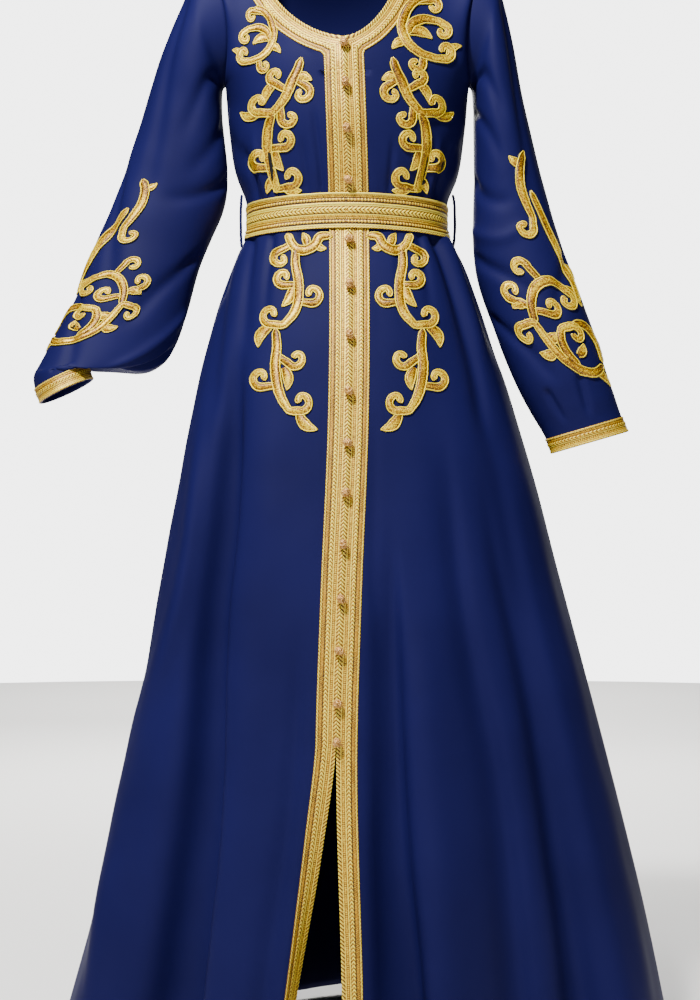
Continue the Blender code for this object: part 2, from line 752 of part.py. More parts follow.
def make_belt_loop(name, side, material, collection):
    """A thread loop at the side seam that stands out round the belt."""
    curve = bpy.data.curves.new(name, "CURVE")
    curve.dimensions = "3D"
    curve.bevel_depth = LOOP_THREAD / 2
    curve.bevel_resolution = 1
    curve.use_fill_caps = True
    spline = curve.splines.new("POLY")
    heights = [BELT_TOP + 0.012, BELT_BOTTOM - 0.014]
    ends = [side_reach(side, z) + LOOP_ROOT_GAP for z in heights]
    widest = abs(body_point(90 * side, (BELT_TOP + BELT_BOTTOM) / 2).x) + LOOP_REACH
    spline.points.add(LOOP_STEPS)
    for i in range(LOOP_STEPS + 1):
        share = i / LOOP_STEPS
        base = ends[0] + (ends[1] - ends[0]) * share
        bow = math.sin(math.pi * share) ** 0.55
        x = base + (widest - base) * bow
        z = heights[0] + (heights[1] - heights[0]) * (share - 0.06 * math.sin(2 * math.pi * share))
        spline.points[i].co = (side * x, 0, z, 1)
    obj = bpy.data.objects.new(name, curve)
    curve.materials.append(material)
    collection.objects.link(obj)


def make_button(name, height, cloth, material, collection):
    """A knotted ball button that sits on the two braids where they meet."""
    x = along(CLOSURE, 1, height)
    hit, _, _, _ = cloth.ray_cast(Vector((x + SEAM_GAP, -1, height)), Vector((0, 1, 0)))
    seat = hit.y - LAY_GAP - BRAID_THICK - SEAM_GAP
    ball = bmesh.new()
    bmesh.ops.create_uvsphere(ball, u_segments=8, v_segments=4, radius=BUTTON)
    data = bpy.data.meshes.new(name)
    ball.to_mesh(data)
    ball.free()
    data.shade_smooth()
    obj = new_object(name, data, material, collection)
    obj.location = (x, seat - BUTTON, height)
    obj.rotation_euler = (math.pi / 2, 0, 0)


def smooth_line(points, pieces):
    """Points on a smooth line through the given points."""
    line = [Vector(p) for p in points]
    ahead = [line[0] * 2 - line[1]] + line + [line[-1] * 2 - line[-2]]
    found = []
    for i in range(1, len(ahead) - 2):
        a, b, c, d = ahead[i - 1 : i + 3]
        for k in range(pieces):
            t = k / pieces
            found.append(
                ((b * 2) + (c - a) * t + (a * 2 - b * 5 + c * 4 - d) * t * t
                 + (b * 3 - a - c * 3 + d) * t**3) / 2
            )
    return found + [line[-1]]


def stem_path(points):
    line = smooth_line(points, 1)
    path = []
    for i, point in enumerate(line):
        swell = math.sin(math.pi * (0.1 + 0.8 * i / (len(line) - 1)))
        path.append((point, STEM_HALF * (0.55 + 0.45 * swell)))
    return path


def with_middles(path):
    """A path with a point added halfway along each long step, so that it can bend over the cloth."""
    found = path[:1]
    for (before, half_before), (point, half) in zip(path, path[1:]):
        if (point - before).length > LONGEST_STEP:
            found.append(((before + point) / 2, (half_before + half) / 2))
        found.append((point, half))
    return found


def curl_path(root_x, root_z, eye_x, eye_z, radius, hand):
    """A branch that leaves its root, meets the circle round the eye and winds into it."""
    root = Vector((root_x, root_z))
    eye = Vector((eye_x, eye_z))
    away = root - eye
    reach = max(away.length, radius * 1.05)
    start = math.atan2(away.y, away.x) + hand * math.acos(radius / reach)
    path = [(root, STEM_HALF * 0.75)]
    for i in range(CURL_STEPS + 1):
        share = i / CURL_STEPS
        turn = start + hand * CURL_TURN * share
        size = radius * (1 - 0.72 * share)
        point = eye + Vector((math.cos(turn), math.sin(turn))) * size
        path.append((point, STEM_HALF * (1.0 + 0.12 * share)))
    return path


def leaf_path(root_x, root_z, tip_x, tip_z, half_width, bend):
    root = Vector((root_x, root_z))
    tip = Vector((tip_x, tip_z))
    side = Vector((root.y - tip.y, tip.x - root.x)).normalized()
    path = []
    for i in range(LEAF_STEPS + 1):
        share = i / LEAF_STEPS
        point = root.lerp(tip, share) + side * bend * math.sin(math.pi * share)
        path.append((point, half_width * (0.12 + math.sin(math.pi * (0.25 + 0.75 * share) ** 1.2))))
    return path


def ribbon(path, lift):
    """A raised cord of stitches in the flat: two edges on the cloth and a ridge between them."""
    mesh = bmesh.new()
    count = len(path)
    sections = []
    for i, (point, half) in enumerate(path):
        run = (path[min(i + 1, count - 1)][0] - path[max(i - 1, 0)][0]).normalized()
        side = Vector((-run.y, run.x)) * half
        corners = ((point + side, lift), (point - side, lift), (point, lift + RIDGE))
        sections.append([mesh.verts.new((p.x, p.y, height)) for p, height in corners])
    for first, second in zip(sections, sections[1:]):
        for k in range(3):
            other = (k + 1) % 3
            mesh.faces.new((first[k], first[other], second[other], second[k]))
    mesh.faces.new(sections[0])
    mesh.faces.new(sections[-1])
    face_out(mesh)
    data = bpy.data.meshes.new("ribbon")
    mesh.to_mesh(data)
    mesh.free()
    return bpy.data.objects.new("ribbon", data)


def united(pieces):
    """The union of the ribbons as one mesh."""
    for piece in pieces:
        bpy.context.scene.collection.objects.link(piece)
    base = pieces[0]
    for piece in pieces[1:]:
        joint = base.modifiers.new("join", "BOOLEAN")
        joint.operation = "UNION"
        joint.solver = "MANIFOLD"
        joint.object = piece
    bpy.context.view_layer.update()
    graph = bpy.context.evaluated_depsgraph_get()
    data = bpy.data.meshes.new_from_object(base.evaluated_get(graph))
    for piece in pieces:
        bpy.data.objects.remove(piece, do_unlink=True)
    return data


def make_scroll(name, stems, curls, leaves, lay, material, collection):
    """Scroll embroidery drawn flat in millimetres, then laid on the cloth by the function lay."""
    paths = [stem_path(points) for points in stems]
    paths += [curl_path(*row) for row in curls]
    paths += [leaf_path(*row) for row in leaves]
    data = united([ribbon(with_middles(path), LIFT_STEP * i) for i, path in enumerate(paths)])
    mesh = bmesh.new()
    mesh.from_mesh(data)
    for vert in mesh.verts:
        vert.co = lay(vert.co.x / 1000, vert.co.y / 1000, STITCH_GAP + vert.co.z / 1000)
    face_out(mesh)
    mesh.to_mesh(data)
    mesh.free()
    data.name = name
    data.materials.clear()
    new_object(name, data, material, collection)


def front_layer(side, rows, inset, wide, tall):
    """Lays a drawing on a front as seen from the front, moved outwards by inset.

    wide and tall scale it, and its height is scaled from SHOULDER_FOOT.
    """
    tree = surface_tree(rows)

    def lay(x, z, height):
        place = Vector((side * (inset + wide * x), -1, SHOULDER_FOOT + (z - SHOULDER_FOOT) * tall))
        hit, direction, _, _ = tree.ray_cast(place, Vector((0, 1, 0)))
        return hit + (direction if direction.y < 0 else -direction) * height

    return lay


def sleeve_layer(side, rings, turned, top, stretch):
    """Lays a drawing round a sleeve: x is measured round the arm from its front, outwards."""
    tree = surface_tree(sleeve_lines(rings, side, 8 * ARM_STEPS), closed=True)
    centres = [(-(r[1] + r[3]) / 2, (r[0] + r[2]) / 2, r[4]) for r in rings]

    def lay(x, z, height):
        z = top + (z - FOREARM_TOP) * stretch
        depths = [c[0] for c in centres]
        centre = Vector((np.interp(-z, depths, [c[1] for c in centres]),
                         np.interp(-z, depths, [c[2] for c in centres]), z))
        turn = (x + turned) / FOREARM_RADIUS
        way = Vector((side * math.sin(turn), -math.cos(turn), 0))
        hit, direction, _, _ = tree.ray_cast(centre, way)
        return hit + (direction if direction.dot(way) > 0 else -direction) * height

    return lay


def surface_tree(rows, closed=False):
    """The outer face of a grid, as something that a ray can meet."""
    points = [tuple(p) for line in rows for p in line]
    width = len(rows[0])
    count = len(rows)
    faces = []
    for i in range(count if closed else count - 1):
        for j in range(width - 1):
            k = (i + 1) % count
            faces.append((i * width + j, k * width + j, k * width + j + 1, i * width + j + 1))
    return BVHTree.FromPolygons(points, faces)


def main():
    clear_scene()
    collection = bpy.data.collections.new("abaya")
    bpy.context.scene.collection.children.link(collection)
    finishes = {name: make_material(name) for name in FINISHES}
    crepe = finishes["royal blue crepe"]
    braid = finishes["gold braid"]
    thread = finishes["gold thread"]
    back = make_back("back", crepe, collection)
    make_neck_braid("neck_braid_back", back[0], braid, collection)
    make_belt("belt", braid, collection)
    sleeve_places = {1: (SLEEVE_LEFT, 0.0, -0.300, 1.0), -1: (SLEEVE_RIGHT, 0.022, -0.338, 0.74)}
    shoulder_places = {1: (0.0, 1.0, 1.0), -1: (0.046, 0.76, 0.85)}
    for side, hand in ((1, "left"), (-1, "right")):
        rows, normals = make_front("front_" + hand, side, crepe, collection)
        make_braid("front_braid_" + hand, rows, normals, (0, 1, 2), 1.0, False, braid, collection)
        rings, turned, top, stretch = sleeve_places[side]
        lines = make_sleeve("sleeve_" + hand, rings, side, crepe, collection)
        make_cuff_braid("cuff_braid_" + hand, lines, side, braid, collection)
        make_belt_loop("belt_loop_" + hand, side, crepe, collection)
        layers = {
            "shoulder": front_layer(side, rows, *shoulder_places[side]),
            "bodice": front_layer(side, rows, 0, 1, 1),
            "skirt": front_layer(side, rows, side * SKIRT_SHIFT, 1, 1),
            "forearm": sleeve_layer(side, rings, turned, top, stretch),
        }
        for place, drawing in SCROLLS.items():
            make_scroll(f"{place}_scroll_{hand}", *drawing, layers[place], thread, collection)
    cloth = surface_tree(front_rows(1))
    for number, height in enumerate(BUTTON_HEIGHTS, 1):
        make_button(f"button_{number:02d}", height, cloth, finishes["copper gold thread"], collection)


main()
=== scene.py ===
"""Looks of a worn abaya in royal blue crepe with gold braid, a braided belt and raised scroll embroidery."""

import math

import bpy
import numpy as np
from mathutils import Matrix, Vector
from mathutils.bvhtree import BVHTree


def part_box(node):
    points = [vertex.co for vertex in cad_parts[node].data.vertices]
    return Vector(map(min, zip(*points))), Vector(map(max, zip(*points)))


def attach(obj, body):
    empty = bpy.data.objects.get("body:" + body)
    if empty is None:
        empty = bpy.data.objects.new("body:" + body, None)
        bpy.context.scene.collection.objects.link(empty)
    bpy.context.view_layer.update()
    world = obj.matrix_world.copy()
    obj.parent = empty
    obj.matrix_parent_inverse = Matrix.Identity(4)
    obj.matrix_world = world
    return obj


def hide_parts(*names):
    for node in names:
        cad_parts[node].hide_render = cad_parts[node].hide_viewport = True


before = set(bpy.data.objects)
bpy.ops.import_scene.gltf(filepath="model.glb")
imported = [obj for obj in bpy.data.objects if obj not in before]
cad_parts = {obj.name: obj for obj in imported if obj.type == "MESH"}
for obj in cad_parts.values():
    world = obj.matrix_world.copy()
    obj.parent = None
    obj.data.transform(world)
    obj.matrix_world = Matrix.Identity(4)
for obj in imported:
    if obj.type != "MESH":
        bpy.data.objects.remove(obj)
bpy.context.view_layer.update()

# Body of the garment, in metres. Sides are -1 for the wearer's right and 1 for the left.
CLOTH_THICK = 0.0014
SEAM_GAP = 0.0003
HEM = -1.500
SLIT_TOP = -1.087
UNDERARM = -0.200
CHEST_HALF = 0.1675
CHEST_FRONT = 0.122
CHEST_BACK = 0.104
CHEST_FULLNESS = 0.175
ROUNDNESS = 0.425
SHOULDER_TIP = 0.190
SHOULDER_TOP = 0.080
SHOULDER_DROP = 0.040
ARMHOLE_FRONT = 0.055
ARMHOLE_BACK = 0.058
ARMHOLE_HOLLOW = 0.056

# Neck
NECK_BOTTOM = -0.155
NECK_BOTTOM_X = -0.004
NECK_HALF = {-1: 0.118, 1: 0.084}
NECK_CURVE = 2 / 1.8
NECK_MIDDLE = NECK_BOTTOM_X + (NECK_HALF[1] - NECK_HALF[-1]) / 2
BACK_NECK_HALF = (NECK_HALF[1] + NECK_HALF[-1]) / 2
BACK_NECK_DROP = 0.030

# Trim
BRAID = 0.027
BELT_TOP = -0.3605
BELT_WIDTH = 0.048
BELT_BOTTOM = BELT_TOP - BELT_WIDTH
BELT_MIDDLE = (BELT_TOP + BELT_BOTTOM) / 2
BELT_SAG = 0.006
BUTTON_COUNT = 15
BUTTON = 0.0060
BUTTON_CORE = 0.0050
BUTTON_CORD = 0.00135
BUTTON_TAIL = 0.0009
LOOP_CORD = 0.0019
# Turn of a cord's strands, in radians a metre
BUTTON_TWIST = 3200
LOOP_TWIST = 2600

# Rows of a panel, counted from the shoulder seam down, and the drop from row to row below the underarm. They
# are closest behind the belt.
ARMHOLE_ROWS = 9
NECK_ROWS = 7
LAST_ROW = 22
ROW_DROP = 0.1
PANEL_ROWS = np.concatenate([
    np.linspace(0, ARMHOLE_ROWS, 58)[:-1],
    np.linspace(ARMHOLE_ROWS, 10.5, 16)[:-1],
    np.linspace(10.5, 11.3, 24)[:-1],
    np.linspace(11.3, LAST_ROW, 104),
])[:, None]
CHEST_ROWS = slice(24, 100)
BACK_NECK_ROWS = slice(0, 70)

# Columns of a panel, and points round a sleeve, a cuff and the belt
FRONT_COLUMNS = np.concatenate([np.linspace(0, 1, 7)[:-1], np.linspace(1, 2, 80)])
BACK_COLUMNS = np.linspace(0, 1, 111)
SLEEVE_TURNS = np.arange(120)[:, None] / 120
SLEEVE_RINGS = 140
CUFF_TURNS = np.arange(288)[:, None] / 288
BELT_TURNS = 820
EDGE_BRAID_STEP = 0.00118
NECK_BRAID_STEP = 0.0011

# Sleeves: length round the arm and from ring to ring, for placing creases, and depth of a cuff in rings
SLEEVE_GIRTH = 0.36
SLEEVE_PITCH = 0.042
CUFF_DEPTH = 0.86

# Embroidery: half width of a stem in mm, turn of a curl, and where the drawings hang on the cloth, in metres
STEM_HALF = 6.5
CURL_TURN = math.radians(275)
SHOULDER_FOOT = -0.196
FOREARM_TOP = -0.300
FOREARM_RADIUS = 0.062
STITCH_LIFT = 0.0002

# In mm: height, left edge, right edge, depth in front, depth behind
SECTIONS = np.array((
    (-200, -167.5, 167.5, 122, 104),
    (-260, -162.5, 162.5, 123, 100),
    (-325, -152, 152, 113, 95),
    (-358, -139.5, 139.5, 106, 93),
    (-411, -139.5, 140.5, 106, 94),
    (-435, -151, 155, 112, 105),
    (-494.5, -174, 179, 128, 124),
    (-563, -193, 201.5, 143, 143),
    (-700, -222, 245.6, 163, 168),
    (-908, -260.8, 300.8, 190, 198),
    (-1115, -295, 356, 216, 226),
    (-1322, -345, 407, 240, 253),
    (-1500, -388, 444, 255, 270),
)) / 1000

# In mm: height and x of the line where the fronts meet
CLOSURE = np.array((
    (0, -4),
    (-155, -4),
    (-358, 2),
    (-660, 2),
    (-900, -7.5),
    (-1087, -13),
    (-1410, -6),
    (-1500, -5),
)) / 1000

# Height in mm, x of the slit's turn line in mm, degrees that the band turns in
SLIT_LEFT = np.array((
    (-1000, -37, 0),
    (-1087, -40.2, 0),
    (-1200, -53, 22),
    (-1410, -79, 58),
    (-1500, -91, 62),
)) / (1000, 1000, 1)

# Folds of the skirt: degrees at the top and at the hem, height of the top in mm, depth at the hem in mm, half
# width in degrees
FOLDS = (
    (-57, -68, -480, 12, 8),
    (-47, -43.5, -440, -36, 7.5),
    (-38, -34, -440, 14, 6),
    (-18, -20, -700, 8, 10),
    (5, 4.5, -750, -13, 5),
    (13, 14, -750, 11, 7),
    (27, 30, -500, -13, 6.5),
    (54, 45, -420, -18, 6.5),
    (65, 62, -420, 12, 8),
    (108, 112, -440, -26, 9),
    (126, 130, -440, 16, 8),
    (146, 148, -440, -30, 9),
    (172, 176, -500, 18, 9),
    (200, 203, -440, -26, 9),
    (222, 224, -440, 14, 8),
    (243, 246, -440, -28, 8),
)

# In mm: outer x, outer height, inner x, inner height, middle y, half depth
SLEEVE_LEFT = np.array((
    (206, -52, 171.5, -203.5, 2, 60),
    (217.5, -92, 173, -214, 0, 63),
    (227.5, -140, 174, -236, -2, 64),
    (238, -195, 174.5, -262, -4, 63),
    (248.5, -245, 175, -296, -6, 61),
    (260, -296, 175, -335, -8, 59),
    (271.5, -343, 173.5, -376, -10, 58),
    (283, -388, 173, -418, -13, 58),
    (297, -428, 177, -458, -16, 59),
    (311, -468, 187, -498, -20, 59),
    (325, -510, 200, -537, -24, 58),
    (340, -553, 215, -577, -28, 56),
    (351.5, -592, 232, -617, -32, 52),
    (362.5, -624, 250, -650, -35, 44),
    (372.5, -653, 269, -683, -38, 36),
    (382, -677, 279, -707, -40, 35),
)) / 1000
SLEEVE_RIGHT = np.array((
    (-210, -50, -171.5, -203.5, 2, 60),
    (-226.5, -88, -172.5, -216, 0, 62),
    (-245, -130, -171.5, -240, -3, 60),
    (-262, -180, -168, -275, -6, 56),
    (-277, -232, -165, -312, -10, 53),
    (-292.5, -282, -165, -345, -14, 51),
    (-307, -328, -172, -378, -18, 50),
    (-322, -372, -185, -412, -24, 50),
    (-338, -412, -197.5, -446, -30, 50),
    (-353, -452, -208, -484, -38, 51),
    (-366, -492, -218.5, -520, -46, 52),
    (-384, -528, -231, -556, -55, 52),
    (-401, -562, -250, -586, -63, 52),
    (-414, -590, -282, -599, -70, 51),
    (-419, -603, -338, -582, -75, 46),
    (-419, -619, -348, -586, -79, 44),
    (-410, -641, -341, -608, -86, 44),
)) / 1000
SLEEVES = {1: SLEEVE_LEFT, -1: SLEEVE_RIGHT}

# Creases as seen from the front, in mm: points (x, z), depth at the first and last point (out is positive),
# half width towards -x at both ends, half width towards +x at both ends. Those that begin or end at the
# belt, or past the hem, don't fade out there.
UNDER_BELT = range(-430, -409)
BELT_EDGE = -362
PAST_HEM = -1500
FRONT_CREASES = {
    -1: (
        (((-190, -560), (-208, -814), (-236, -957), (-272, -1063), (-310, -1220), (-370, -1520)),
         5, 14, 9, 24, 8, 14),
        (((-140, -520), (-152, -680), (-160, -800), (-171, -900), (-177, -1000), (-179, -1120),
          (-184, -1220), (-198, -1340), (-220, -1530)), -16, -50, 12, 40, 9, 16),
        (((-90, -480), (-108, -800), (-126, -1050), (-150, -1530)), 3, 9, 22, 36, 22, 38),
        (((-160, -420), (-166, -470), (-176, -560), (-186, -680)), -6, -4, 7, 12, 7, 12),
        (((-129, -420), (-134, -480), (-141, -580)), -5, -3, 6, 10, 6, 10),
        (((-100, -418), (-106, -470), (-113, -560)), -4, -1.5, 5, 8, 5, 8),
        (((-62, -418), (-66, -460), (-67, -540)), -2.5, -1, 5, 8, 5, 8),
        (((-146, -290), (-130, -325), (-121, -362)), -5, -5, 5, 4, 6, 4),
        (((-128, -280), (-117, -325), (-109, -362)), 3, 3.5, 5, 4, 5, 4),
        (((-108, -290), (-101, -335), (-97, -362)), -3.5, -4, 5, 4, 5, 4),
        (((-60, -290), (-55, -335), (-53, -362)), -2, -3, 4, 4, 4, 4),
        (((-46, -245), (-36, -315), (-32, -362)), -2.5, -4, 5, 4, 4, 3),
        (((-176, -215), (-150, -236), (-122, -262), (-100, -292)), -5, -1, 9, 10, 9, 10),
        (((-165, -270), (-148, -300), (-134, -335)), -3, -3, 7, 6, 7, 6),
        (((-300, -1080), (-330, -1250), (-352, -1420), (-366, -1530)), -4, -14, 9, 18, 8, 14),
        (((-60, -900), (-72, -1150), (-98, -1350), (-120, -1530)), -2, -9, 9, 18, 9, 16),
    ),
    1: (
        (((58, -780), (62, -960), (66, -1100), (70, -1220), (80, -1340), (94, -1530)),
         -5, -46, 16, 46, 6, 12),
        (((85, -860), (104, -1156), (118, -1285), (130, -1530)), 3, 9, 18, 28, 24, 34),
        (((34, -640), (31, -740), (33, -861), (38, -987)), -3.5, -3, 8, 9, 8, 9),
        (((170, -690), (200, -850), (232, -980), (256, -1100), (281, -1240), (330, -1530)),
         -3, -17, 11, 30, 8, 13),
        (((125, -650), (149, -875), (172, -1007), (205, -1180), (236, -1530)), -3, -14, 14, 30, 8, 12),
        (((200, -650), (240, -880), (290, -1100), (380, -1530)), 3, 12, 12, 26, 12, 26),
        (((118, -416), (130, -445), (150, -510), (173, -600), (190, -720)), -9, -5, 7, 14, 5, 9),
        (((134, -416), (147, -450), (168, -515), (190, -600)), 6, 3, 6, 12, 6, 12),
        (((152, -420), (166, -455), (186, -520), (210, -600)), -6, -3, 5, 10, 5, 10),
        (((97, -418), (104, -460), (114, -540)), -4, -1, 5, 8, 5, 8),
        (((66, -418), (70, -460), (75, -550)), -2.5, -1, 5, 8, 5, 8),
        (((144, -288), (130, -325), (121, -362)), -5, -5, 6, 4, 5, 4),
        (((128, -285), (118, -325), (110, -362)), 3, 3.5, 5, 4, 5, 4),
        (((112, -290), (104, -335), (100, -362)), -3.5, -4, 5, 4, 5, 4),
        (((62, -290), (58, -335), (56, -362)), -2, -3, 4, 4, 4, 4),
        (((176, -215), (152, -236), (124, -260), (102, -290)), -5, -1, 9, 10, 9, 10),
        (((168, -270), (150, -300), (136, -335)), -3, -3, 7, 6, 7, 6),
    ),
}

# Creases of the back: points as seen through it from the front, with the same columns
BACK_CREASES = (
    (((-120, -420), (-135, -560), (-165, -800), (-210, -1530)), -4, -9, 7, 24, 7, 18),
    (((-85, -420), (-95, -560), (-110, -900), (-140, -1530)), 3, 8, 8, 26, 8, 26),
    (((-50, -420), (-55, -560), (-60, -850), (-75, -1530)), -4, -8, 6, 20, 6, 24),
    (((-12, -430), (-10, -600), (-5, -950), (0, -1530)), 2, 6, 8, 24, 8, 24),
    (((26, -420), (32, -560), (45, -850), (60, -1530)), -4, -9, 6, 24, 6, 18),
    (((70, -420), (80, -600), (105, -900), (140, -1530)), 3, 8, 8, 24, 8, 26),
    (((108, -420), (124, -560), (160, -800), (215, -1530)), -5, -9, 7, 18, 7, 26),
    (((-170, -700), (-210, -950), (-280, -1530)), -2, -8, 10, 20, 10, 20),
    (((190, -700), (235, -950), (310, -1530)), -2, -8, 10, 20, 10, 20),
    (((-115, -290), (-105, -330), (-98, -362)), -3, -4, 6, 4, 6, 4),
    (((-70, -280), (-64, -330), (-60, -362)), -2.5, -4, 6, 4, 6, 4),
    (((-22, -270), (-20, -330), (-19, -362)), -2, -3, 6, 4, 6, 4),
    (((40, -280), (36, -330), (34, -362)), -2.5, -4, 6, 4, 6, 4),
    (((92, -285), (84, -330), (80, -362)), -3, -4, 6, 4, 6, 4),
    (((-176, -190), (-140, -215), (-95, -225)), -4, -1, 9, 12, 9, 12),
    (((176, -190), (140, -212), (95, -222)), -4, -1, 9, 12, 9, 12),
    (((-110, -70), (-60, -110), (0, -122), (60, -108), (110, -66)), -1, -1, 8, 8, 10, 10),
)

# Creases of a sleeve: points (degrees round the arm from its outside by way of the back, ring),
# depth in mm at both ends, half width in mm across at both ends
SLEEVE_CREASES = {
    1: (
        (((200, 1.0), (235, 2.2), (262, 3.8), (285, 5.2)), -6, -2, 9, 10),
        (((170, 2.6), (205, 3.6), (240, 4.8), (268, 6.2)), -6, -2, 8, 10),
        (((172, 5.6), (205, 6.4), (245, 7.0), (282, 7.2)), -7, -2, 8, 9),
        (((175, 7.4), (215, 7.9), (255, 8.2), (300, 7.8)), 4, 2, 8, 9),
        (((178, 8.3), (215, 8.9), (250, 9.6), (290, 10.8)), -6, -3, 8, 10),
        (((180, 10.4), (210, 11.0), (240, 12.0), (262, 13.4)), -5, -3, 8, 9),
        (((330, 1.2), (318, 3.2), (308, 5.6), (300, 8.0)), -4, -2, 10, 12),
        (((350, 8.6), (325, 9.6), (300, 10.4), (280, 11.8)), -5, -2, 8, 10),
        (((20, 2.0), (60, 3.4), (95, 5.2), (120, 7.2)), -5, -3, 10, 12),
        (((150, 4.6), (125, 6.0), (95, 7.6), (60, 8.6)), -6, -3, 9, 11),
        (((160, 8.2), (130, 9.2), (95, 10.0), (50, 10.4)), -5, -3, 9, 10),
        (((140, 11.4), (110, 12.6), (85, 14.0)), -4, -3, 7, 8),
        (((290, 12.8), (284, 14.0), (280, 14.9)), -4, -4, 5, 5),
        (((240, 13.2), (243, 14.2), (246, 14.9)), -4, -4, 5, 5),
        (((60, 13.2), (64, 14.2), (68, 14.9)), -4, -4, 5, 5),
    ),
    -1: (
        (((205, 1.2), (235, 2.4), (258, 4.0), (276, 5.6)), -6, -2, 9, 10),
        (((172, 2.8), (205, 3.9), (236, 5.2), (262, 6.6)), -5, -2, 8, 10),
        (((180, 5.2), (214, 6.2), (250, 7.0), (286, 7.4)), -6, -2, 8, 10),
        (((330, 1.2), (318, 3.0), (304, 5.2), (292, 8.2)), -5, -3, 10, 12),
        (((356, 6.4), (330, 8.0), (306, 9.6), (284, 11.4)), -6, -3, 9, 12),
        (((190, 8.4), (220, 9.4), (248, 10.6), (268, 12.2)), -6, -3, 9, 10),
        (((184, 10.6), (208, 11.6), (232, 12.8), (250, 14.2)), 5, 3, 8, 9),
        (((180, 12.0), (204, 13.0), (226, 14.2), (238, 15.4)), -6, -4, 7, 7),
        (((350, 10.6), (322, 11.8), (300, 13.2), (284, 14.8)), -5, -3, 8, 8),
        (((20, 2.2), (58, 3.6), (92, 5.4), (120, 7.2)), -5, -3, 10, 12),
        (((150, 5.0), (122, 6.4), (92, 8.0), (56, 9.2)), -6, -3, 9, 11),
        (((160, 9.0), (130, 10.2), (95, 11.2), (50, 11.8)), -5, -3, 9, 10),
        (((286, 13.8), (282, 15.0), (278, 16.0)), -4, -4, 5, 5),
        (((90, 13.6), (92, 14.8), (94, 16.0)), -4, -4, 5, 5),
    ),
}

# Embroidery in mm. A stem is a line of points, and one that ends in a curl goes on with the curl's eye,
# radius and the hand it turns to; a curl is where it leaves its stem, then the same; a leaf is root, tip,
# half width and bend.
SCROLLS = {
    "shoulder": (
        ((((112, -92), (94, -98), (80, -114), (73, -138), (80, -160), (97, -174), (116, -179)),
          131, -169, 10, 1),
         (((80, -150), (86, -134), (102, -125), (120, -126)), 129, -139, 8, -1)),
        ((100, -176, 93, -189, 8, -1), (90, -104, 116, -104, 8, -1)),
        ((82, -158, 60, -171, 5.0, -4), (136, -174, 154, -158, 4.5, 5), (82, -146, 114, -152, 6.0, 6),
         (90, -102, 92, -86, 4.0, 3)),
    ),
    "bodice": (
        ((((60, -183), (65, -199), (73, -216), (82, -236), (96, -252)), 117, -242, 10.5, 1),
         (((97, -252), (104, -272), (106, -300), (101, -328), (92, -358)),)),
        ((68, -206, 58, -230, 9.5, 1), (78, -222, 95, -207, 8, 1), (86, -244, 78, -262, 9.5, -1),
         (105, -305, 83, -291, 9.5, -1), (99, -330, 118, -314, 10, 1), (95, -350, 75, -341, 11, -1)),
        ((72, -213, 46, -214, 5.5, -5), (93, -214, 110, -242, 5.0, 5), (118, -254, 143, -247, 5.0, -5),
         (95, -304, 84, -330, 5.0, 4), (97, -336, 107, -358, 4.5, 2), (84, -353, 60, -357, 4.5, 2)),
    ),
    "skirt": (
        ((((22, -419), (38, -420), (46, -432), (60, -438), (74, -432), (82, -414)),),
         (((70, -430), (71, -456), (67, -480), (67, -506), (73, -524), (84, -537)), 103, -527, 11, 1),
         (((97, -543), (95, -568), (97, -594), (94, -620), (88, -638), (80, -651)), 63, -643, 11, -1)),
        ((79, -426, 92, -447, 9, -1), (67, -490, 87, -476, 9, 1), (67, -512, 49, -500, 10.5, -1),
         (95, -574, 71, -585, 10, -1), (94, -624, 116, -611, 10.5, 1)),
        ((56, -432, 62, -414, 4.5, 2), (74, -486, 89, -514, 5.5, -4), (104, -541, 120, -568, 6.0, 6),
         (86, -596, 82, -626, 5.5, -4), (66, -656, 41, -678, 6.0, 6), (44, -428, 30, -436, 4.0, 3)),
    ),
    "forearm": (
        ((((26, -298), (17, -320), (14, -345), (19, -368), (25, -386)), 14, -403, 10.5, -1),
         (((30, -352), (42, -384), (52, -416), (60, -446), (66, -476), (66, -502)),),
         (((-14, -534), (-10, -506), (4, -484), (24, -475), (38, -480)), 46, -500, 10, -1),
         (((74, -588), (50, -599), (26, -594), (6, -578), (-6, -556), (-14, -534)), -33, -546, 10.5, 1),
         (((30, -592), (17, -574), (14, -556), (19, -543)), 38, -546, 10, -1),
         (((40, -532), (60, -536), (74, -556), (76, -584)),)),
        ((10, -480, -8, -458, 10, 1), (-12, -516, -32, -490, 10.5, -1), (-8, -520, 18, -512, 9.5, 1)),
        ((20, -316, 2, -306, 5.0, 3), (-16, -508, -38, -512, 6.0, -4), (46, -484, 70, -508, 5.0, 5),
         (-8, -552, 16, -546, 6.0, -4), (0, -570, -24, -572, 6.0, 5), (54, -596, 80, -616, 5.5, 3),
         (32, -576, 46, -560, 5.0, -3), (60, -452, 78, -470, 5.0, 4), (70, -556, 92, -572, 5.0, 3)),
    ),
}


# Camera: level, 3 m in front of the garment, as the photograph was taken
def place_camera():
    lens = bpy.data.cameras.new("camera")
    lens.lens = 78.3
    lens.sensor_width = 36
    camera = bpy.data.objects.new("camera", lens)
    camera.location = (0.0041, -3.0, -0.770)
    camera.rotation_euler = (math.pi / 2, 0, 0)
    bpy.context.scene.collection.objects.link(camera)
    bpy.context.scene.camera = camera


# Smooth lines

def ease(t):
    t = np.clip(t, 0.0, 1.0)
    return t * t * (3 - 2 * t)


def unit(vectors):
    return vectors / np.maximum(np.linalg.norm(vectors, axis=-1, keepdims=True), 1e-12)


def between(t, start, leave, end, arrive):
    """Share t of the way from start to end, on a line that leaves and arrives with the given slopes."""
    return ((1 + 2 * t) * (1 - t) ** 2 * start + t * (1 - t) ** 2 * leave
            + t * t * (3 - 2 * t) * end + t * t * (t - 1) * arrive)


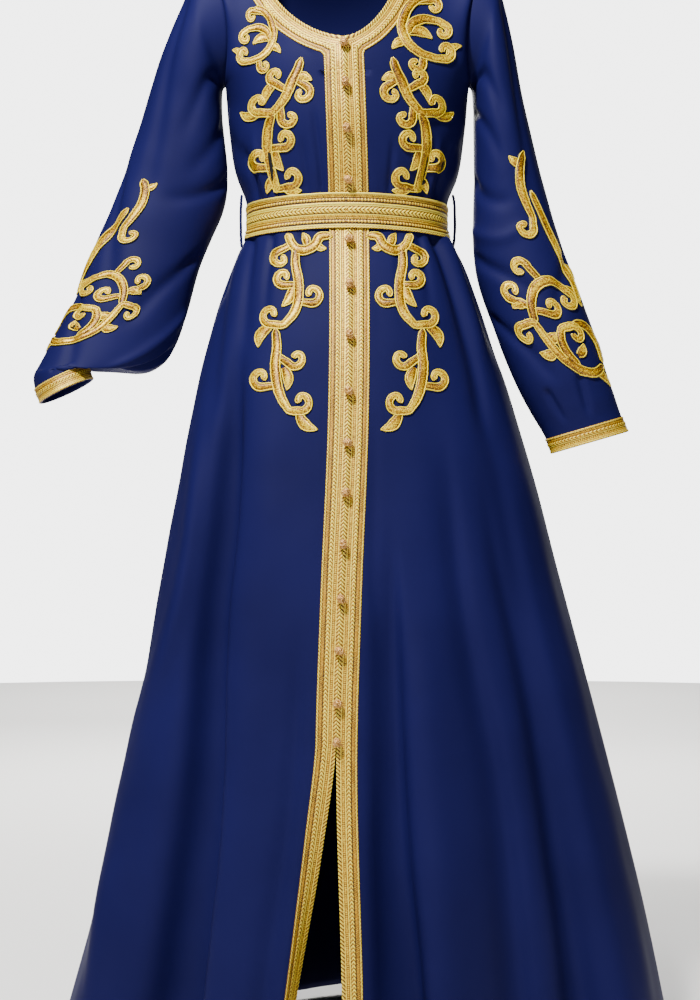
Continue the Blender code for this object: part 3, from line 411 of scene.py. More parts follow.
def through(t, a, b, c, d):
    """Share t of the way from b to c, on a smooth line that comes from a and goes on to d."""
    return (2 * b + (c - a) * t + (2 * a - 5 * b + 4 * c - d) * t**2 + (3 * b - a - 3 * c + d) * t**3) / 2


def smooth_points(points, pieces=6):
    """More points on a smooth line through the given ones."""
    line = np.array(points, float)
    line = np.vstack([2 * line[0] - line[1], line, 2 * line[-1] - line[-2]])
    stretches = zip(line, line[1:], line[2:], line[3:])
    found = [tuple(through(k / pieces, *ends)) for ends in stretches for k in range(pieces)]
    return found + [tuple(line[-2])]


def distances_along(line):
    return np.concatenate([[0], np.cumsum(np.linalg.norm(np.diff(line, axis=0), axis=1))])


def read_smooth(table, column, height):
    """A column of a table that is sorted downwards, read smoothly at every height of an array."""
    heights = table[::-1, 0]
    values = table[::-1, column]
    slopes = np.gradient(values, heights)
    height = np.clip(height, heights[0], heights[-1])
    i = np.clip(np.searchsorted(heights, height, side="right") - 1, 0, len(heights) - 2)
    span = heights[i + 1] - heights[i]
    t = (height - heights[i]) / span
    return between(t, values[i], span * slopes[i], values[i + 1], span * slopes[i + 1])


# Form of the worn garment

def shoulder_height(x):
    return -SHOULDER_DROP * np.clip((np.abs(x) - SHOULDER_TOP) / (SHOULDER_TIP - SHOULDER_TOP), 0, 1)


def arm_reach(share):
    """Distance of the armhole from the middle, at a share of its height."""
    return CHEST_HALF + (SHOULDER_TIP - CHEST_HALF) * share - ARMHOLE_HOLLOW * share * (1 - share)


def armhole(row, side, behind):
    """The armhole's edge, from the underarm at 0 to the shoulder at 9."""
    angle = np.pi * row / ARMHOLE_ROWS
    share = (1 - np.cos(angle)) / 2
    x = arm_reach(share)
    z = UNDERARM + (shoulder_height(x) - UNDERARM) * share
    depth = np.where(behind, ARMHOLE_BACK, -ARMHOLE_FRONT)
    return np.stack([side * x, depth * np.sin(angle), z], -1)


def chest_depth(x, z, behind):
    """Depth of the body above the underarm, which falls away to the shoulder seam and the armholes."""
    share = np.clip((z - UNDERARM) / (shoulder_height(x) - UNDERARM), 0, 1)
    reach = np.clip(np.abs(x) / arm_reach(share), 0, 1)
    power = 2.0 if behind else 1.6
    soft = 0.0 if behind else 0.14
    fall = (share**2 + soft**2) ** (power / 2) - soft**power
    fall = np.clip(fall / ((1 + soft**2) ** (power / 2) - soft**power), 0, 1)
    middle = (CHEST_BACK if behind else CHEST_FRONT) * (1 - fall) ** (1 / power)
    edge = (ARMHOLE_BACK if behind else ARMHOLE_FRONT) * 2 * np.sqrt(share * (1 - share))
    fullness = ROUNDNESS + CHEST_FULLNESS * ease(share / 0.35)
    return middle * (1 - reach * reach) ** fullness + edge * reach**6


def fold_relief(angle, z):
    relief = np.zeros(np.broadcast(angle, z).shape)
    for top_angle, hem_angle, top, depth, width in FOLDS:
        share = np.clip((top / 1000 - z) / (top / 1000 - HEM), 0, None)
        centre = top_angle + (hem_angle - top_angle) * share
        away = (angle - centre + 180) % 360 - 180
        relief += depth / 1000 * share**1.1 * np.exp(-((away / width) ** 2))
    return relief


def body(angle, z):
    """The cloth below the underarm, 0 degrees in front and 90 at the wearer's left."""
    left = read_smooth(SECTIONS, 1, z)
    right = read_smooth(SECTIONS, 2, z)
    turn = np.radians(angle)
    ahead = np.cos(turn)
    depth = np.where(ahead > 0, read_smooth(SECTIONS, 3, z), read_smooth(SECTIONS, 4, z))
    relief = fold_relief(angle, z)
    x = (left + right) / 2 + ((right - left) / 2 + relief) * np.sin(turn)
    y = -(depth + relief) * np.sign(ahead) * np.abs(ahead) ** (2 * ROUNDNESS)
    return np.stack([x, y, z + 0 * x], -1)


def angle_of(x, z):
    left = read_smooth(SECTIONS, 1, z)
    right = read_smooth(SECTIONS, 2, z)
    return np.degrees(np.arcsin(np.clip((x - (left + right) / 2) / ((right - left) / 2), -1, 1)))


def row_height(row):
    return UNDERARM - ROW_DROP * np.clip(row - ARMHOLE_ROWS, 0, LAST_ROW - ARMHOLE_ROWS)


def neck_curve(side, angle):
    top_x = NECK_BOTTOM_X + side * NECK_HALF[side]
    top = shoulder_height(top_x)
    turn = np.radians(angle)
    x = NECK_BOTTOM_X + side * NECK_HALF[side] * np.sin(turn) ** NECK_CURVE
    z = top - (top - NECK_BOTTOM) * np.cos(turn) ** NECK_CURVE
    return x, z


def upper_edge(side, count):
    """Edge of a front above the underarm, and the direction of the braid's width there."""
    z = UNDERARM + (NECK_BOTTOM - UNDERARM) * np.clip(count / 2, 0, 1)
    x = read_smooth(CLOSURE, 1, z)
    neck_x, neck_z = neck_curve(side, 90 * np.clip((count - 2) / NECK_ROWS, 0, 1))
    x = np.where(count > 2, neck_x, x)
    z = np.where(count > 2, neck_z, z)
    across = [(side, -0.15), (side, -0.52), (side, -1.0)]
    for k in range(1, NECK_ROWS):
        before_x, before_z = neck_curve(side, 90 * k / NECK_ROWS - 1)
        after_x, after_z = neck_curve(side, 90 * k / NECK_ROWS + 1)
        run = math.hypot(after_x - before_x, after_z - before_z)
        across.append((side * (after_z - before_z) / run, -abs(after_x - before_x) / run))
    tip = armhole(np.array(float(ARMHOLE_ROWS)), side, False)
    top_x, top_z = neck_curve(side, 90)
    run = math.hypot(tip[0] - top_x, tip[2] - top_z)
    across.append((side * abs(tip[0] - top_x) / run, (tip[2] - top_z) / run))
    across_x, across_z = (np.interp(count, range(len(across)), part) for part in zip(*across))
    return x, z, across_x, across_z


def front_form(side, row, column):
    """A front. row runs from 0 at the shoulder seam to 9 at the underarm and 22 at the hem;
    column runs over the braid from 0 to 1 and on to the armhole or side seam at 2."""
    row, column = np.broadcast_arrays(np.asarray(row, float), np.asarray(column, float))
    on_braid = BRAID * np.clip(column, 0, 1)
    past_braid = np.clip(column - 1, 0, 1)
    # Above the underarm, from the neck to the armhole
    count = np.clip(ARMHOLE_ROWS - row, 0, ARMHOLE_ROWS)
    edge_x, edge_z, across_x, across_z = upper_edge(side, count)
    x = edge_x + across_x * on_braid
    z = edge_z + across_z * on_braid
    arm = armhole(count, side, False)
    low = math.sin(math.radians(10))
    share = (np.sin(np.radians(10 + 80 * past_braid)) - low) / (1 - low)
    x = x + (arm[..., 0] - x) * share
    z = z + (arm[..., 2] - z) * share
    y = np.where(column > 1.9999, arm[..., 1], -chest_depth(x, z, False))
    above = np.stack([x, y, z], -1)
    # Below it, from the closing line to the side seam
    height = row_height(row)
    closure = read_smooth(CLOSURE, 1, height)
    fold_x = read_smooth(SLIT_LEFT, 1, height)
    in_slit = (side < 0) & (height < SLIT_TOP)
    start = side * angle_of(np.where(in_slit, fold_x, closure + side * BRAID), height)
    angle = side * angle_of(closure + side * on_braid, height)
    angle = np.where(column < 1, angle, start + (90 - start) * past_braid)
    below = body(side * angle, height)
    # Along the slit the right front's braid turns in
    turned = body(angle_of(fold_x, height), height)
    turn = np.radians(read_smooth(SLIT_LEFT, 2, height))
    reach = BRAID - on_braid
    turned = turned + np.stack([reach * np.cos(turn), reach * np.sin(turn), 0 * reach], -1)
    below = np.where((in_slit & (column < 1))[..., None], turned, below)
    form = np.where((row < ARMHOLE_ROWS)[..., None], above, below)
    form[..., 1] -= SEAM_GAP / 2
    closing = (form[..., 2] < NECK_BOTTOM) & (form[..., 2] > SLIT_TOP) & (column <= 0)
    form[..., 0] += np.where(closing, side * SEAM_GAP / 2, 0)
    return form


def back_form(row, column):
    """The back. column runs from 0 at the wearer's left to 1 at the right."""
    row, column = np.broadcast_arrays(np.asarray(row, float), np.asarray(column, float))
    count = np.clip(ARMHOLE_ROWS - row, 0, ARMHOLE_ROWS)
    share = (1 - np.cos(np.pi * count / ARMHOLE_ROWS)) / 2
    # Columns are even across the chest, and follow the shoulder seams and the neck at the top
    seam = 3 / 16
    even = np.cos(np.pi * column)
    neck = NECK_MIDDLE + BACK_NECK_HALF * np.cos(np.pi * np.clip((column - seam) / (1 - 2 * seam), 0, 1))
    left = SHOULDER_TIP + (NECK_MIDDLE + BACK_NECK_HALF - SHOULDER_TIP) * column / seam
    right = -SHOULDER_TIP + (NECK_MIDDLE - BACK_NECK_HALF + SHOULDER_TIP) * (1 - column) / seam
    at_neck = np.where(column < seam, left, np.where(column > 1 - seam, right, neck)) / SHOULDER_TIP
    x = (even + (at_neck - even) * share) * arm_reach(share)
    scoop = np.clip(1 - ((x - NECK_MIDDLE) / BACK_NECK_HALF) ** 2, 0, 1)
    neck_height = np.where(scoop > 0, -BACK_NECK_DROP * scoop**0.5 - 0.0001, 0)
    z = UNDERARM + (np.minimum(shoulder_height(x), neck_height) - UNDERARM) * share
    above = np.stack([x, chest_depth(x, z, True), z], -1)
    for end, side in ((0, 1), (1, -1)):
        above = np.where((column == end)[..., None], armhole(count, side, True), above)
    form = np.where((row < ARMHOLE_ROWS)[..., None], above, body(90 + 180 * column, row_height(row)))
    form[..., 1] += SEAM_GAP / 2
    return form


def sleeve_form(side, turn, ring):
    """A sleeve. turn goes round from 0 to 1; ring is 0 at the armhole and counts the table's rings."""
    angle = 2 * np.pi * turn
    start = armhole(ARMHOLE_ROWS * np.abs(1 - 2 * turn), side, turn <= 0.5)
    start[..., 0] += side * 0.0005
    stations = [start]
    for outer_x, outer_z, inner_x, inner_z, middle_y, half_depth in SLEEVES[side]:
        x = (outer_x + inner_x) / 2 + (outer_x - inner_x) / 2 * np.cos(angle)
        z = (outer_z + inner_z) / 2 + (outer_z - inner_z) / 2 * np.cos(angle)
        stations.append(np.stack([x, middle_y + half_depth * np.sin(angle), z], -1))
    stations = np.array([2 * stations[0] - stations[1]] + stations + [2 * stations[-1] - stations[-2]])
    i = np.clip(np.floor(ring).astype(int), 0, len(SLEEVES[side]) - 1)
    ends = [stations[(i + k,) + tuple(np.indices(i.shape))] for k in range(4)]
    return through((ring - i)[..., None], *ends)


# Creases

def along_line(points, x, z):
    """For each place: its distance from a line of points, with a sign for the side on which it lies, and how
    far along the line it lies."""
    best = np.full(x.shape, 1e9)
    signed = np.zeros(x.shape)
    share = np.zeros(x.shape)
    spans = [math.dist(a, b) for a, b in zip(points, points[1:])]
    gone = 0.0
    for (ax, az), (bx, bz), span in zip(points, points[1:], spans):
        t = np.clip(((x - ax) * (bx - ax) + (z - az) * (bz - az)) / span**2, 0, 1)
        away = np.hypot(x - ax - (bx - ax) * t, z - az - (bz - az) * t)
        nearer = away < best
        hand = np.sign((z - az) * (bx - ax) - (x - ax) * (bz - az))
        best = np.where(nearer, away, best)
        signed = np.where(nearer, away * hand, signed)
        share = np.where(nearer, (gone + span * t) / sum(spans), share)
        gone += span
    return signed, share


def ridge(signed, share, depth, width):
    """A crease's height in metres. Its depth and half width go from a first to a last value, in mm."""
    (first, last), (narrow, wide) = depth, width
    across = (narrow + (wide - narrow) * share) / 1000
    return (first + (last - first) * share) / 1000 * np.exp(-((signed / across) ** 2))


def flat_creases(creases, x, z):
    """How far creases that are placed by (x, z) move the cloth out, in metres."""
    moved = np.zeros(x.shape)
    for points, first, last, left_a, left_b, right_a, right_b in creases:
        line = smooth_points([(px / 1000, pz / 1000) for px, pz in points], 4)
        signed, share = along_line(line, x, z)
        # Creases run on under the belt and past the hem, and fade out elsewhere
        begins = 1.0 if points[0][1] in UNDER_BELT else ease(share / 0.22)
        ends = 1.0 if points[-1][1] == BELT_EDGE or points[-1][1] < PAST_HEM else ease((1 - share) / 0.3)
        width = np.where(signed < 0, left_a, right_a), np.where(signed < 0, left_b, right_b)
        moved += begins * ends * ridge(signed, share, (first, last), width)
    return moved


def round_creases(creases, turn, ring):
    """The same for a sleeve, whose creases are placed by degrees round the arm and by ring."""
    moved = np.zeros(turn.shape)
    for points, first, last, width_a, width_b in creases:
        line = smooth_points([(degrees / 360 * SLEEVE_GIRTH, at * SLEEVE_PITCH) for degrees, at in points], 4)
        for shift in (-SLEEVE_GIRTH, 0, SLEEVE_GIRTH):
            signed, share = along_line(line, turn * SLEEVE_GIRTH + shift, ring * SLEEVE_PITCH)
            fades = ease(share / 0.2) * ease((1 - share) / 0.25)
            moved += fades * ridge(signed, share, (first, last), (width_a, width_b))
    return moved


def soft_unevenness(points, size, seed):
    """A slow unevenness of hanging cloth, from a few crossed waves."""
    rng = np.random.default_rng(seed)
    moved = np.zeros(points.shape[:-1])
    for _ in range(9):
        way = unit(rng.normal(size=3) * (1.0, 1.0, 0.45))
        length = rng.uniform(0.05, 0.16)
        moved += np.sin(points @ way * 2 * np.pi / length + rng.uniform(0, 6.3)) * length
    return moved * size


def held_by_belt(form):
    """The share of a crease that is left at each height, small under the belt."""
    return 1 - 0.75 * np.exp(-(((form[..., 2] - BELT_MIDDLE) / 0.030) ** 4))


def normals_of(grid, wrap, flip):
    if wrap:
        padded = np.concatenate([grid[-1:], grid, grid[:1]])
        down = padded[2:] - padded[:-2]
    else:
        down = np.gradient(grid, axis=0)
    return unit(np.cross(down, np.gradient(grid, axis=1))) * flip


def worn(form, moved, wrap, flip):
    """Cloth that is moved out from its form, and its outward directions."""
    cloth = form + normals_of(form, wrap, flip) * moved[..., None]
    return cloth, normals_of(cloth, wrap, flip)


def front_cloth(side, row, column):
    form = front_form(side, row, column)
    free = (0.12 + 0.88 * ease((column - 1) / 0.05)) * ease((2.0 - column) / 0.08)
    moved = flat_creases(FRONT_CREASES[side], form[..., 0], form[..., 2])
    moved = moved * free + soft_unevenness(form, 0.0022, 5 + side) * free * ease((row - 1) / 4)
    return worn(form, moved * held_by_belt(form), False, side)


def back_cloth(row, column):
    form = back_form(row, column)
    free = ease(column / 0.03) * ease((1 - column) / 0.03) * ease((row - 0.5) / 3)
    moved = flat_creases(BACK_CREASES, form[..., 0], form[..., 2]) + soft_unevenness(form, 0.0022, 11)
    return worn(form, moved * free * held_by_belt(form), False, 1)


def sleeve_cloth(side, turn, ring):
    turn, ring = np.broadcast_arrays(turn, ring)
    form = sleeve_form(side, turn, ring)
    free = ease(ring / 1.2) * ease(len(SLEEVES[side]) - 1 - ring)
    moved = round_creases(SLEEVE_CREASES[side], turn, ring) + soft_unevenness(form, 0.003, 21 + side)
    return worn(form, moved * free, True, -side)


def even_chest(cloth, free):
    """Spreads the bend at the underarm's height over the chest, away from the edges of a panel."""
    part = cloth[CHEST_ROWS]
    for j in range(cloth.shape[1]):
        line = part[:, j].copy()
        gone = distances_along(line)
        weights = np.exp(-0.5 * ((gone[:, None] - gone[None, :]) / 0.016) ** 2) * np.gradient(gone)[None, :]
        evened = weights @ line / weights.sum(1, keepdims=True)
        near = np.exp(-(((line[:, 2] - UNDERARM) / 0.060) ** 4)) * free[j]
        part[:, j] = line + (evened - line) * near[:, None]
    return cloth


# Building meshes

def mesh_of(name, points, faces, facts=None):
    """A piece from arrays of points and faces, turned outwards. Named numbers lie on its points."""
    points = np.ascontiguousarray(points, np.float64).reshape(-1, 3)
    faces = np.ascontiguousarray(faces, np.int32)
    a, b, c, d = [points[faces[:, k]] for k in range(4)]
    if (np.einsum("ij,ij->i", a, np.cross(b, c)) + np.einsum("ij,ij->i", a, np.cross(c, d))).sum() < 0:
        faces = faces[:, ::-1].copy()
    data = bpy.data.meshes.new(name)
    data.vertices.add(len(points))
    data.vertices.foreach_set("co", points.ravel())
    data.loops.add(faces.size)
    data.loops.foreach_set("vertex_index", faces.ravel())
    data.polygons.add(len(faces))
    data.polygons.foreach_set("loop_start", np.arange(0, faces.size, 4, dtype=np.int32))
    data.polygons.foreach_set("loop_total", np.full(len(faces), 4, np.int32))
    data.update(calc_edges=True)
    data.validate()
    for fact, values in (facts or {}).items():
        layer = data.attributes.new(fact, "FLOAT", "POINT")
        layer.data.foreach_set("value", np.ascontiguousarray(values, np.float32).ravel())
    data.shade_smooth()
    piece = bpy.data.objects.new(name, data)
    bpy.context.scene.collection.objects.link(piece)
    return piece


def grid_faces(rows, columns, wrap):
    i = np.arange(rows if wrap else rows - 1)[:, None]
    j = np.arange(columns - 1)[None, :]
    a = i * columns + j
    b = (i + 1) % rows * columns + j
    return np.stack([a, b, b + 1, a + 1], -1).reshape(-1, 4)


def shell_faces(rows, columns, wrap):
    """Faces of a closed wall between two grids of points, the inner one numbered after the outer one."""
    outer = grid_faces(rows, columns, wrap)
    i = np.arange(rows if wrap else rows - 1)
    a, b = i * columns, (i + 1) % rows * columns
    rim = [(b, a), (a + columns - 1, b + columns - 1)]
    if not wrap:
        first = np.arange(columns - 1)
        last = first + (rows - 1) * columns
        rim += [(first, first + 1), (last + 1, last)]
    under = rows * columns
    sides = [np.stack([p, q, q + under, p + under], -1) for p, q in rim]
    return np.concatenate([outer, outer[:, ::-1] + under, *sides])


def trim_faces(rows, columns, wrap):
    """Faces of a closed strip with an odd number of columns of points on its upper side and three below."""
    below = rows * columns
    i = np.arange(rows if wrap else rows - 1)
    a, b = i * columns, (i + 1) % rows * columns
    a2, b2 = below + i * 3, below + (i + 1) % rows * 3
    parts = [
        grid_faces(rows, columns, wrap),
        grid_faces(rows, 3, wrap)[:, ::-1] + below,
        np.stack([b, a, a2, b2], -1),
        np.stack([a + columns - 1, b + columns - 1, b2 + 2, a2 + 2], -1),
    ]
    if not wrap:
        for row, turn in ((0, 1), (rows - 1, -1)):
            first, low = row * columns, below + row * 3
            last = first + columns - 1
            k = np.arange(first + 1, last - 1, 2)
            fan = np.stack([np.full(len(k), low + 1), k, k + 1, k + 2], -1)
            ends = np.array([[low + 1, low, first, first + 1], [low + 1, last - 1, last, low + 2]])
            parts.append(np.concatenate([fan, ends])[:, ::turn])
    return np.concatenate(parts)


def cloth_piece(name, cloth, normals, wrap):
    rows, columns = cloth.shape[:2]
    points = np.concatenate([cloth.reshape(-1, 3), (cloth - normals * CLOTH_THICK).reshape(-1, 3)])
    return mesh_of(name, points, shell_faces(rows, columns, wrap))


def raised_piece(name, base, normals, pattern, strand, wrap, lift=SEAM_GAP):
    """Trim on a base grid. Its pattern is a height in mm and a tone, from dark groove to pale thread: the
    thread's colour with painted shade in the grooves and a painted highlight on the crowns.
    """
    rows, columns = base.shape[:2]
    height, tone = pattern
    top = base + normals * (lift + height / 1000)[..., None]
    under = (base + normals * lift)[:, [0, columns // 2, columns - 1]]
    points = np.concatenate([top.reshape(-1, 3), under.reshape(-1, 3)])
    strand = np.broadcast_to(strand / 1000, tone.shape)
    facts = {
        "tone": np.concatenate([tone.ravel(), np.full(rows * 3, 0.3)]),
        "along": np.concatenate([strand.ravel(), strand[:, :3].ravel()]),
    }
    return mesh_of(name, points, trim_faces(rows, columns, wrap), facts)


def surface_tree(grid, wrap=False):
    faces = grid_faces(grid.shape[0], grid.shape[1], wrap)
    return BVHTree.FromPolygons([tuple(p) for p in grid.reshape(-1, 3)], [tuple(f) for f in faces])


# Braid patterns. s runs along the braid and w across it, both in mm; each returns height in mm and tone. The
# tone follows the height: painted shade in the grooves and on the sides of round threads, painted highlight
# on their crowns.

def inside(w, low, high):
    """Place across one column of a braid, from -1 to 1, and whether it lies in it."""
    u = (w - (low + high) / 2) / ((high - low) / 2)
    return np.clip(u, -1, 1), (np.abs(u) <= 1)


def rope(s, w, low, high, pitch, lean):
    """A twisted cord."""
    u, here = inside(w, low, high)
    dome = np.sqrt(1 - u * u)
    twist = np.abs(np.sin(np.pi * (s / pitch + lean * u)))
    return here * dome * (0.45 + 0.55 * twist), here * (0.12 + 0.88 * twist**0.7) * (0.4 + 0.6 * dome)


def grain(s, w, low, high, pitch):
    """A column of small knots."""
    u, here = inside(w, low, high)
    place = max(round((high - low) / pitch), 1) * (u + 1) / 2
    knots = np.abs(np.sin(np.pi * (s / pitch + np.floor(place) * 0.5))) * np.abs(np.sin(np.pi * place))
    return here * (0.40 + 0.45 * knots), here * (0.22 + 0.68 * knots)


def beads(s, w, low, high, pitch):
    """A column of round bumps, each a small turned loop of thread."""
    u, here = inside(w, low, high)
    v = (s / pitch) % 1 * 2 - 1
    round_off = np.sqrt(np.clip(1 - u * u * 0.9 - v * v * 0.9, 0, 1))
    thread = 0.5 + 0.5 * np.cos(2 * np.pi * (1.6 * u + 1.2 * v))
    return here * (0.25 + 0.80 * round_off), here * (0.12 + 0.50 * round_off + 0.32 * thread * round_off)


def plait(s, w, low, high, pitch, lean):
    """Strands that slant towards the middle, where they pass over and under each other."""
    u, here = inside(w, low, high)
    strand = np.abs(np.sin(np.pi * (s / pitch + lean * (1 - np.abs(u)))))
    middle = np.clip(np.abs(u) / 0.18, 0, 1)
    dome = np.clip(1 - np.abs(u) ** 3, 0, 1) * (0.75 + 0.25 * middle)
    rise = (0.25 + 0.85 * strand**0.6) * (0.35 + 0.65 * dome)
    return here * rise, here * (0.08 + 0.92 * strand**0.8) * (0.45 + 0.55 * dome) * (0.7 + 0.3 * middle)


def half_plait(s, w, low, high, pitch, lean):
    """Strands that slant away from the garment's edge."""
    u = np.clip((w - low) / (high - low), 0, 1)
    here = w <= high
    strand = np.abs(np.sin(np.pi * (s / pitch - lean * u)))
    rise = (0.35 + 0.65 * strand**0.6) * np.sqrt(1 - (0.85 * u) ** 2)
    return here * rise, here * (0.10 + 0.90 * strand) * (1 - 0.30 * u)


def cord_line(s, w, low, high):
    """A smooth laid cord."""
    u, here = inside(w, low, high)
    dome = np.sqrt(1 - u * u)
    return here * dome, here * (0.35 + 0.55 * dome)


# Columns of a braid, in mm: weave, where it begins and ends across the braid, height of its crown, and the
# weave's own pitch and lean. Edging is measured from the garment's edge, and the belt from its top.
OUTER_ROPE_PITCH = 4.6
EDGING = (
    (rope, 23.4, 27.0, 1.7, OUTER_ROPE_PITCH, 0.7),
    (grain, 19.4, 23.0, 1.2, 2.4),
    (plait, 12.4, 18.8, 1.5, 5.0, 0.9),
    (cord_line, 10.6, 12.2, 1.3),
    (grain, 6.6, 10.4, 1.2, 2.6),
    (cord_line, 5.0, 6.4, 1.2),
)
FRONT_EDGING = (*EDGING, (half_plait, 0.0, 4.5, 1.8, 5.0, 0.8))
ROPED_EDGING = (*EDGING, (rope, 0.0, 4.5, 1.6, 4.4, 0.8))
BELTING = (
    (cord_line, 0.0, 2.8, 2.2),
    (grain, 2.8, 7.2, 1.8, 2.4),
    (beads, 7.8, 12.0, 2.2, 4.4),
    (cord_line, 13.6, 16.4, 2.3),
    (cord_line, 16.4, 18.4, 1.9),
    (plait, 18.8, 28.0, 2.6, 5.6, 1.1),
    (cord_line, 28.4, 30.2, 1.9),
    (grain, 30.2, 35.8, 1.8, 2.4),
    (beads, 36.6, 40.6, 2.2, 4.4),
    (cord_line, 42.2, 44.8, 2.2),
    (rope, 44.8, 48.0, 2.2, 4.0, 0.8),
)
# Widths in mm
EDGING_WIDTH = 27
BELTING_WIDTH = 48
# Height in mm and tone of the ground between the columns; the ground's low tone is painted shade between them
EDGING_GROUND = (0.25, 0.12)
BELTING_GROUND = (0.5, 0.10)
# Lengths in mm at which a cuff's and the belt's pattern closes, a whole number of times round
EDGING_REPEAT = 26.4
BELTING_REPEAT = 23.0


def woven(s, w, columns, ground):
    """Height in mm and tone of a braid, of which the ground between the columns has the least."""
    height, tone = (least + 0 * w * s for least in ground)
    for weave, low, high, crown, *settings in columns:
        rise, shade = weave(s, w, low, high, *settings)
        height = np.maximum(height, rise * crown)
        tone = np.maximum(tone, shade)
    return height, tone


def even_rows(line, parameters, step):
    """Parameters that are evenly spaced along a line of points, and the distances in mm there, as columns."""
    gone = distances_along(line)
    at = np.linspace(0, gone[-1], int(gone[-1] / step) + 1)
    return np.interp(at, gone, parameters)[:, None], at[:, None] * 1000


# Garment pieces

def make_front(side, hand):
    cloth, _ = front_cloth(side, PANEL_ROWS, FRONT_COLUMNS[None, :])
    cloth = even_chest(cloth, ease((FRONT_COLUMNS - 1) / 0.05) * ease((2 - FRONT_COLUMNS) / 0.30))
    normals = normals_of(cloth, False, side)
    # The side seam's allowance lies under the back
    width = 0.0008 + 0.0052 * ease((PANEL_ROWS - ARMHOLE_ROWS - 0.1) / 0.3)
    allowance = cloth[:, -1] + unit(cloth[:, -1] - cloth[:, -2]) * width - normals[:, -1] * width * 0.30
    whole = np.concatenate([cloth, allowance[:, None]], 1)
    piece = cloth_piece("front_panel_" + hand, whole, np.concatenate([normals, normals[:, -1:]], 1), False)
    return piece, cloth


def make_back():
    cloth, _ = back_cloth(PANEL_ROWS, BACK_COLUMNS[None, :])
    cloth = even_chest(cloth, ease(np.minimum(BACK_COLUMNS, 1 - BACK_COLUMNS) / 0.12))
    return cloth_piece("back_panel", cloth, normals_of(cloth, False, 1), False), cloth


def make_sleeve(side, hand):
    rings = np.linspace(0, len(SLEEVES[side]), SLEEVE_RINGS)[None, :]
    cloth, normals = sleeve_cloth(side, SLEEVE_TURNS, rings)
    # The armhole's seam allowance lies under the panels
    allowance = cloth[:, 0] - unit(cloth[:, 1] - cloth[:, 0]) * 0.003 - normals[:, 0] * 0.0018
    cloth = np.concatenate([allowance[:, None], cloth], 1)
    normals = np.concatenate([normals[:, :1], normals], 1)
    return cloth_piece("sleeve_cloth_" + hand, cloth, normals, True), cloth


def make_front_braid(side, hand):
    guide = np.linspace(0, LAST_ROW, 2201)
    middle = front_cloth(side, guide[:, None], np.array([[0.0, 0.5, 1.0]]))[0][:, 1]
    rows, s = even_rows(middle, guide, EDGE_BRAID_STEP)
    columns = np.linspace(0, 1, 31)[None, :]
    # The outer rope's strands give the braid a scalloped edge
    scallop = 0.022 * (1 - np.abs(np.sin(np.pi * s / OUTER_ROPE_PITCH)))
    scallop = scallop * np.clip((columns - 0.88) / 0.12, 0, 1)
    base, normals = front_cloth(side, rows, columns - scallop)
    pattern = woven(s, columns * EDGING_WIDTH, FRONT_EDGING, EDGING_GROUND)
    return raised_piece("edge_braid_" + hand, base, normals, pattern, s, False)


def back_neck_edge(turn):
    x = NECK_MIDDLE + BACK_NECK_HALF * np.cos(turn)
    return x, np.minimum(shoulder_height(x), -BACK_NECK_DROP * np.sin(turn))


def make_neck_braid(tree):
    turn = np.pi * np.linspace(0, 1, 301)
    x, z = back_neck_edge(turn)
    turn, s = even_rows(np.stack([x, chest_depth(x, z, True), z], -1), turn, NECK_BRAID_STEP)
    turn = turn[:, 0]
    edge_x, edge_z = back_neck_edge(turn)
    slope = SHOULDER_DROP / (SHOULDER_TIP - SHOULDER_TOP)
    across = unit(np.stack([np.cos(turn), -np.sin(turn) - slope * np.abs(np.cos(turn))], -1))
    distances = np.linspace(0, BRAID, 29)
    base = np.zeros((len(turn), len(distances), 3))
    for i in range(len(turn)):
        for j, distance in enumerate(distances):
            x = edge_x[i] + across[i, 0] * distance
            z = min(edge_z[i] + across[i, 1] * distance, float(shoulder_height(x)))
            base[i, j] = tree.find_nearest(Vector((x, float(chest_depth(x, z, True)), z)))[0]
    normals = normals_of(base, False, 1)
    normals *= np.where(normals[..., 2:] + normals[..., 1:2] < 0, -1, 1)
    pattern = woven(s, distances[None, :] * 1000, ROPED_EDGING, EDGING_GROUND)
    return raised_piece("back_neck_braid", base, normals, pattern, s, False, 0.0006)


def make_cuff_braid(side, hand):
    last = len(SLEEVES[side])
    rings = np.linspace(last - CUFF_DEPTH, last, 27)[None, ::-1]
    base, normals = sleeve_cloth(side, CUFF_TURNS, rings)
    w = np.linspace(0, EDGING_WIDTH, 27)[None, :]
    girth = distances_along(base[:, 0])[-1] * 1000
    s = CUFF_TURNS * round(girth / EDGING_REPEAT) * EDGING_REPEAT
    pattern = woven(s, w, ROPED_EDGING, EDGING_GROUND)
    return raised_piece("cuff_band_" + hand, base, -normals, pattern, s, True)


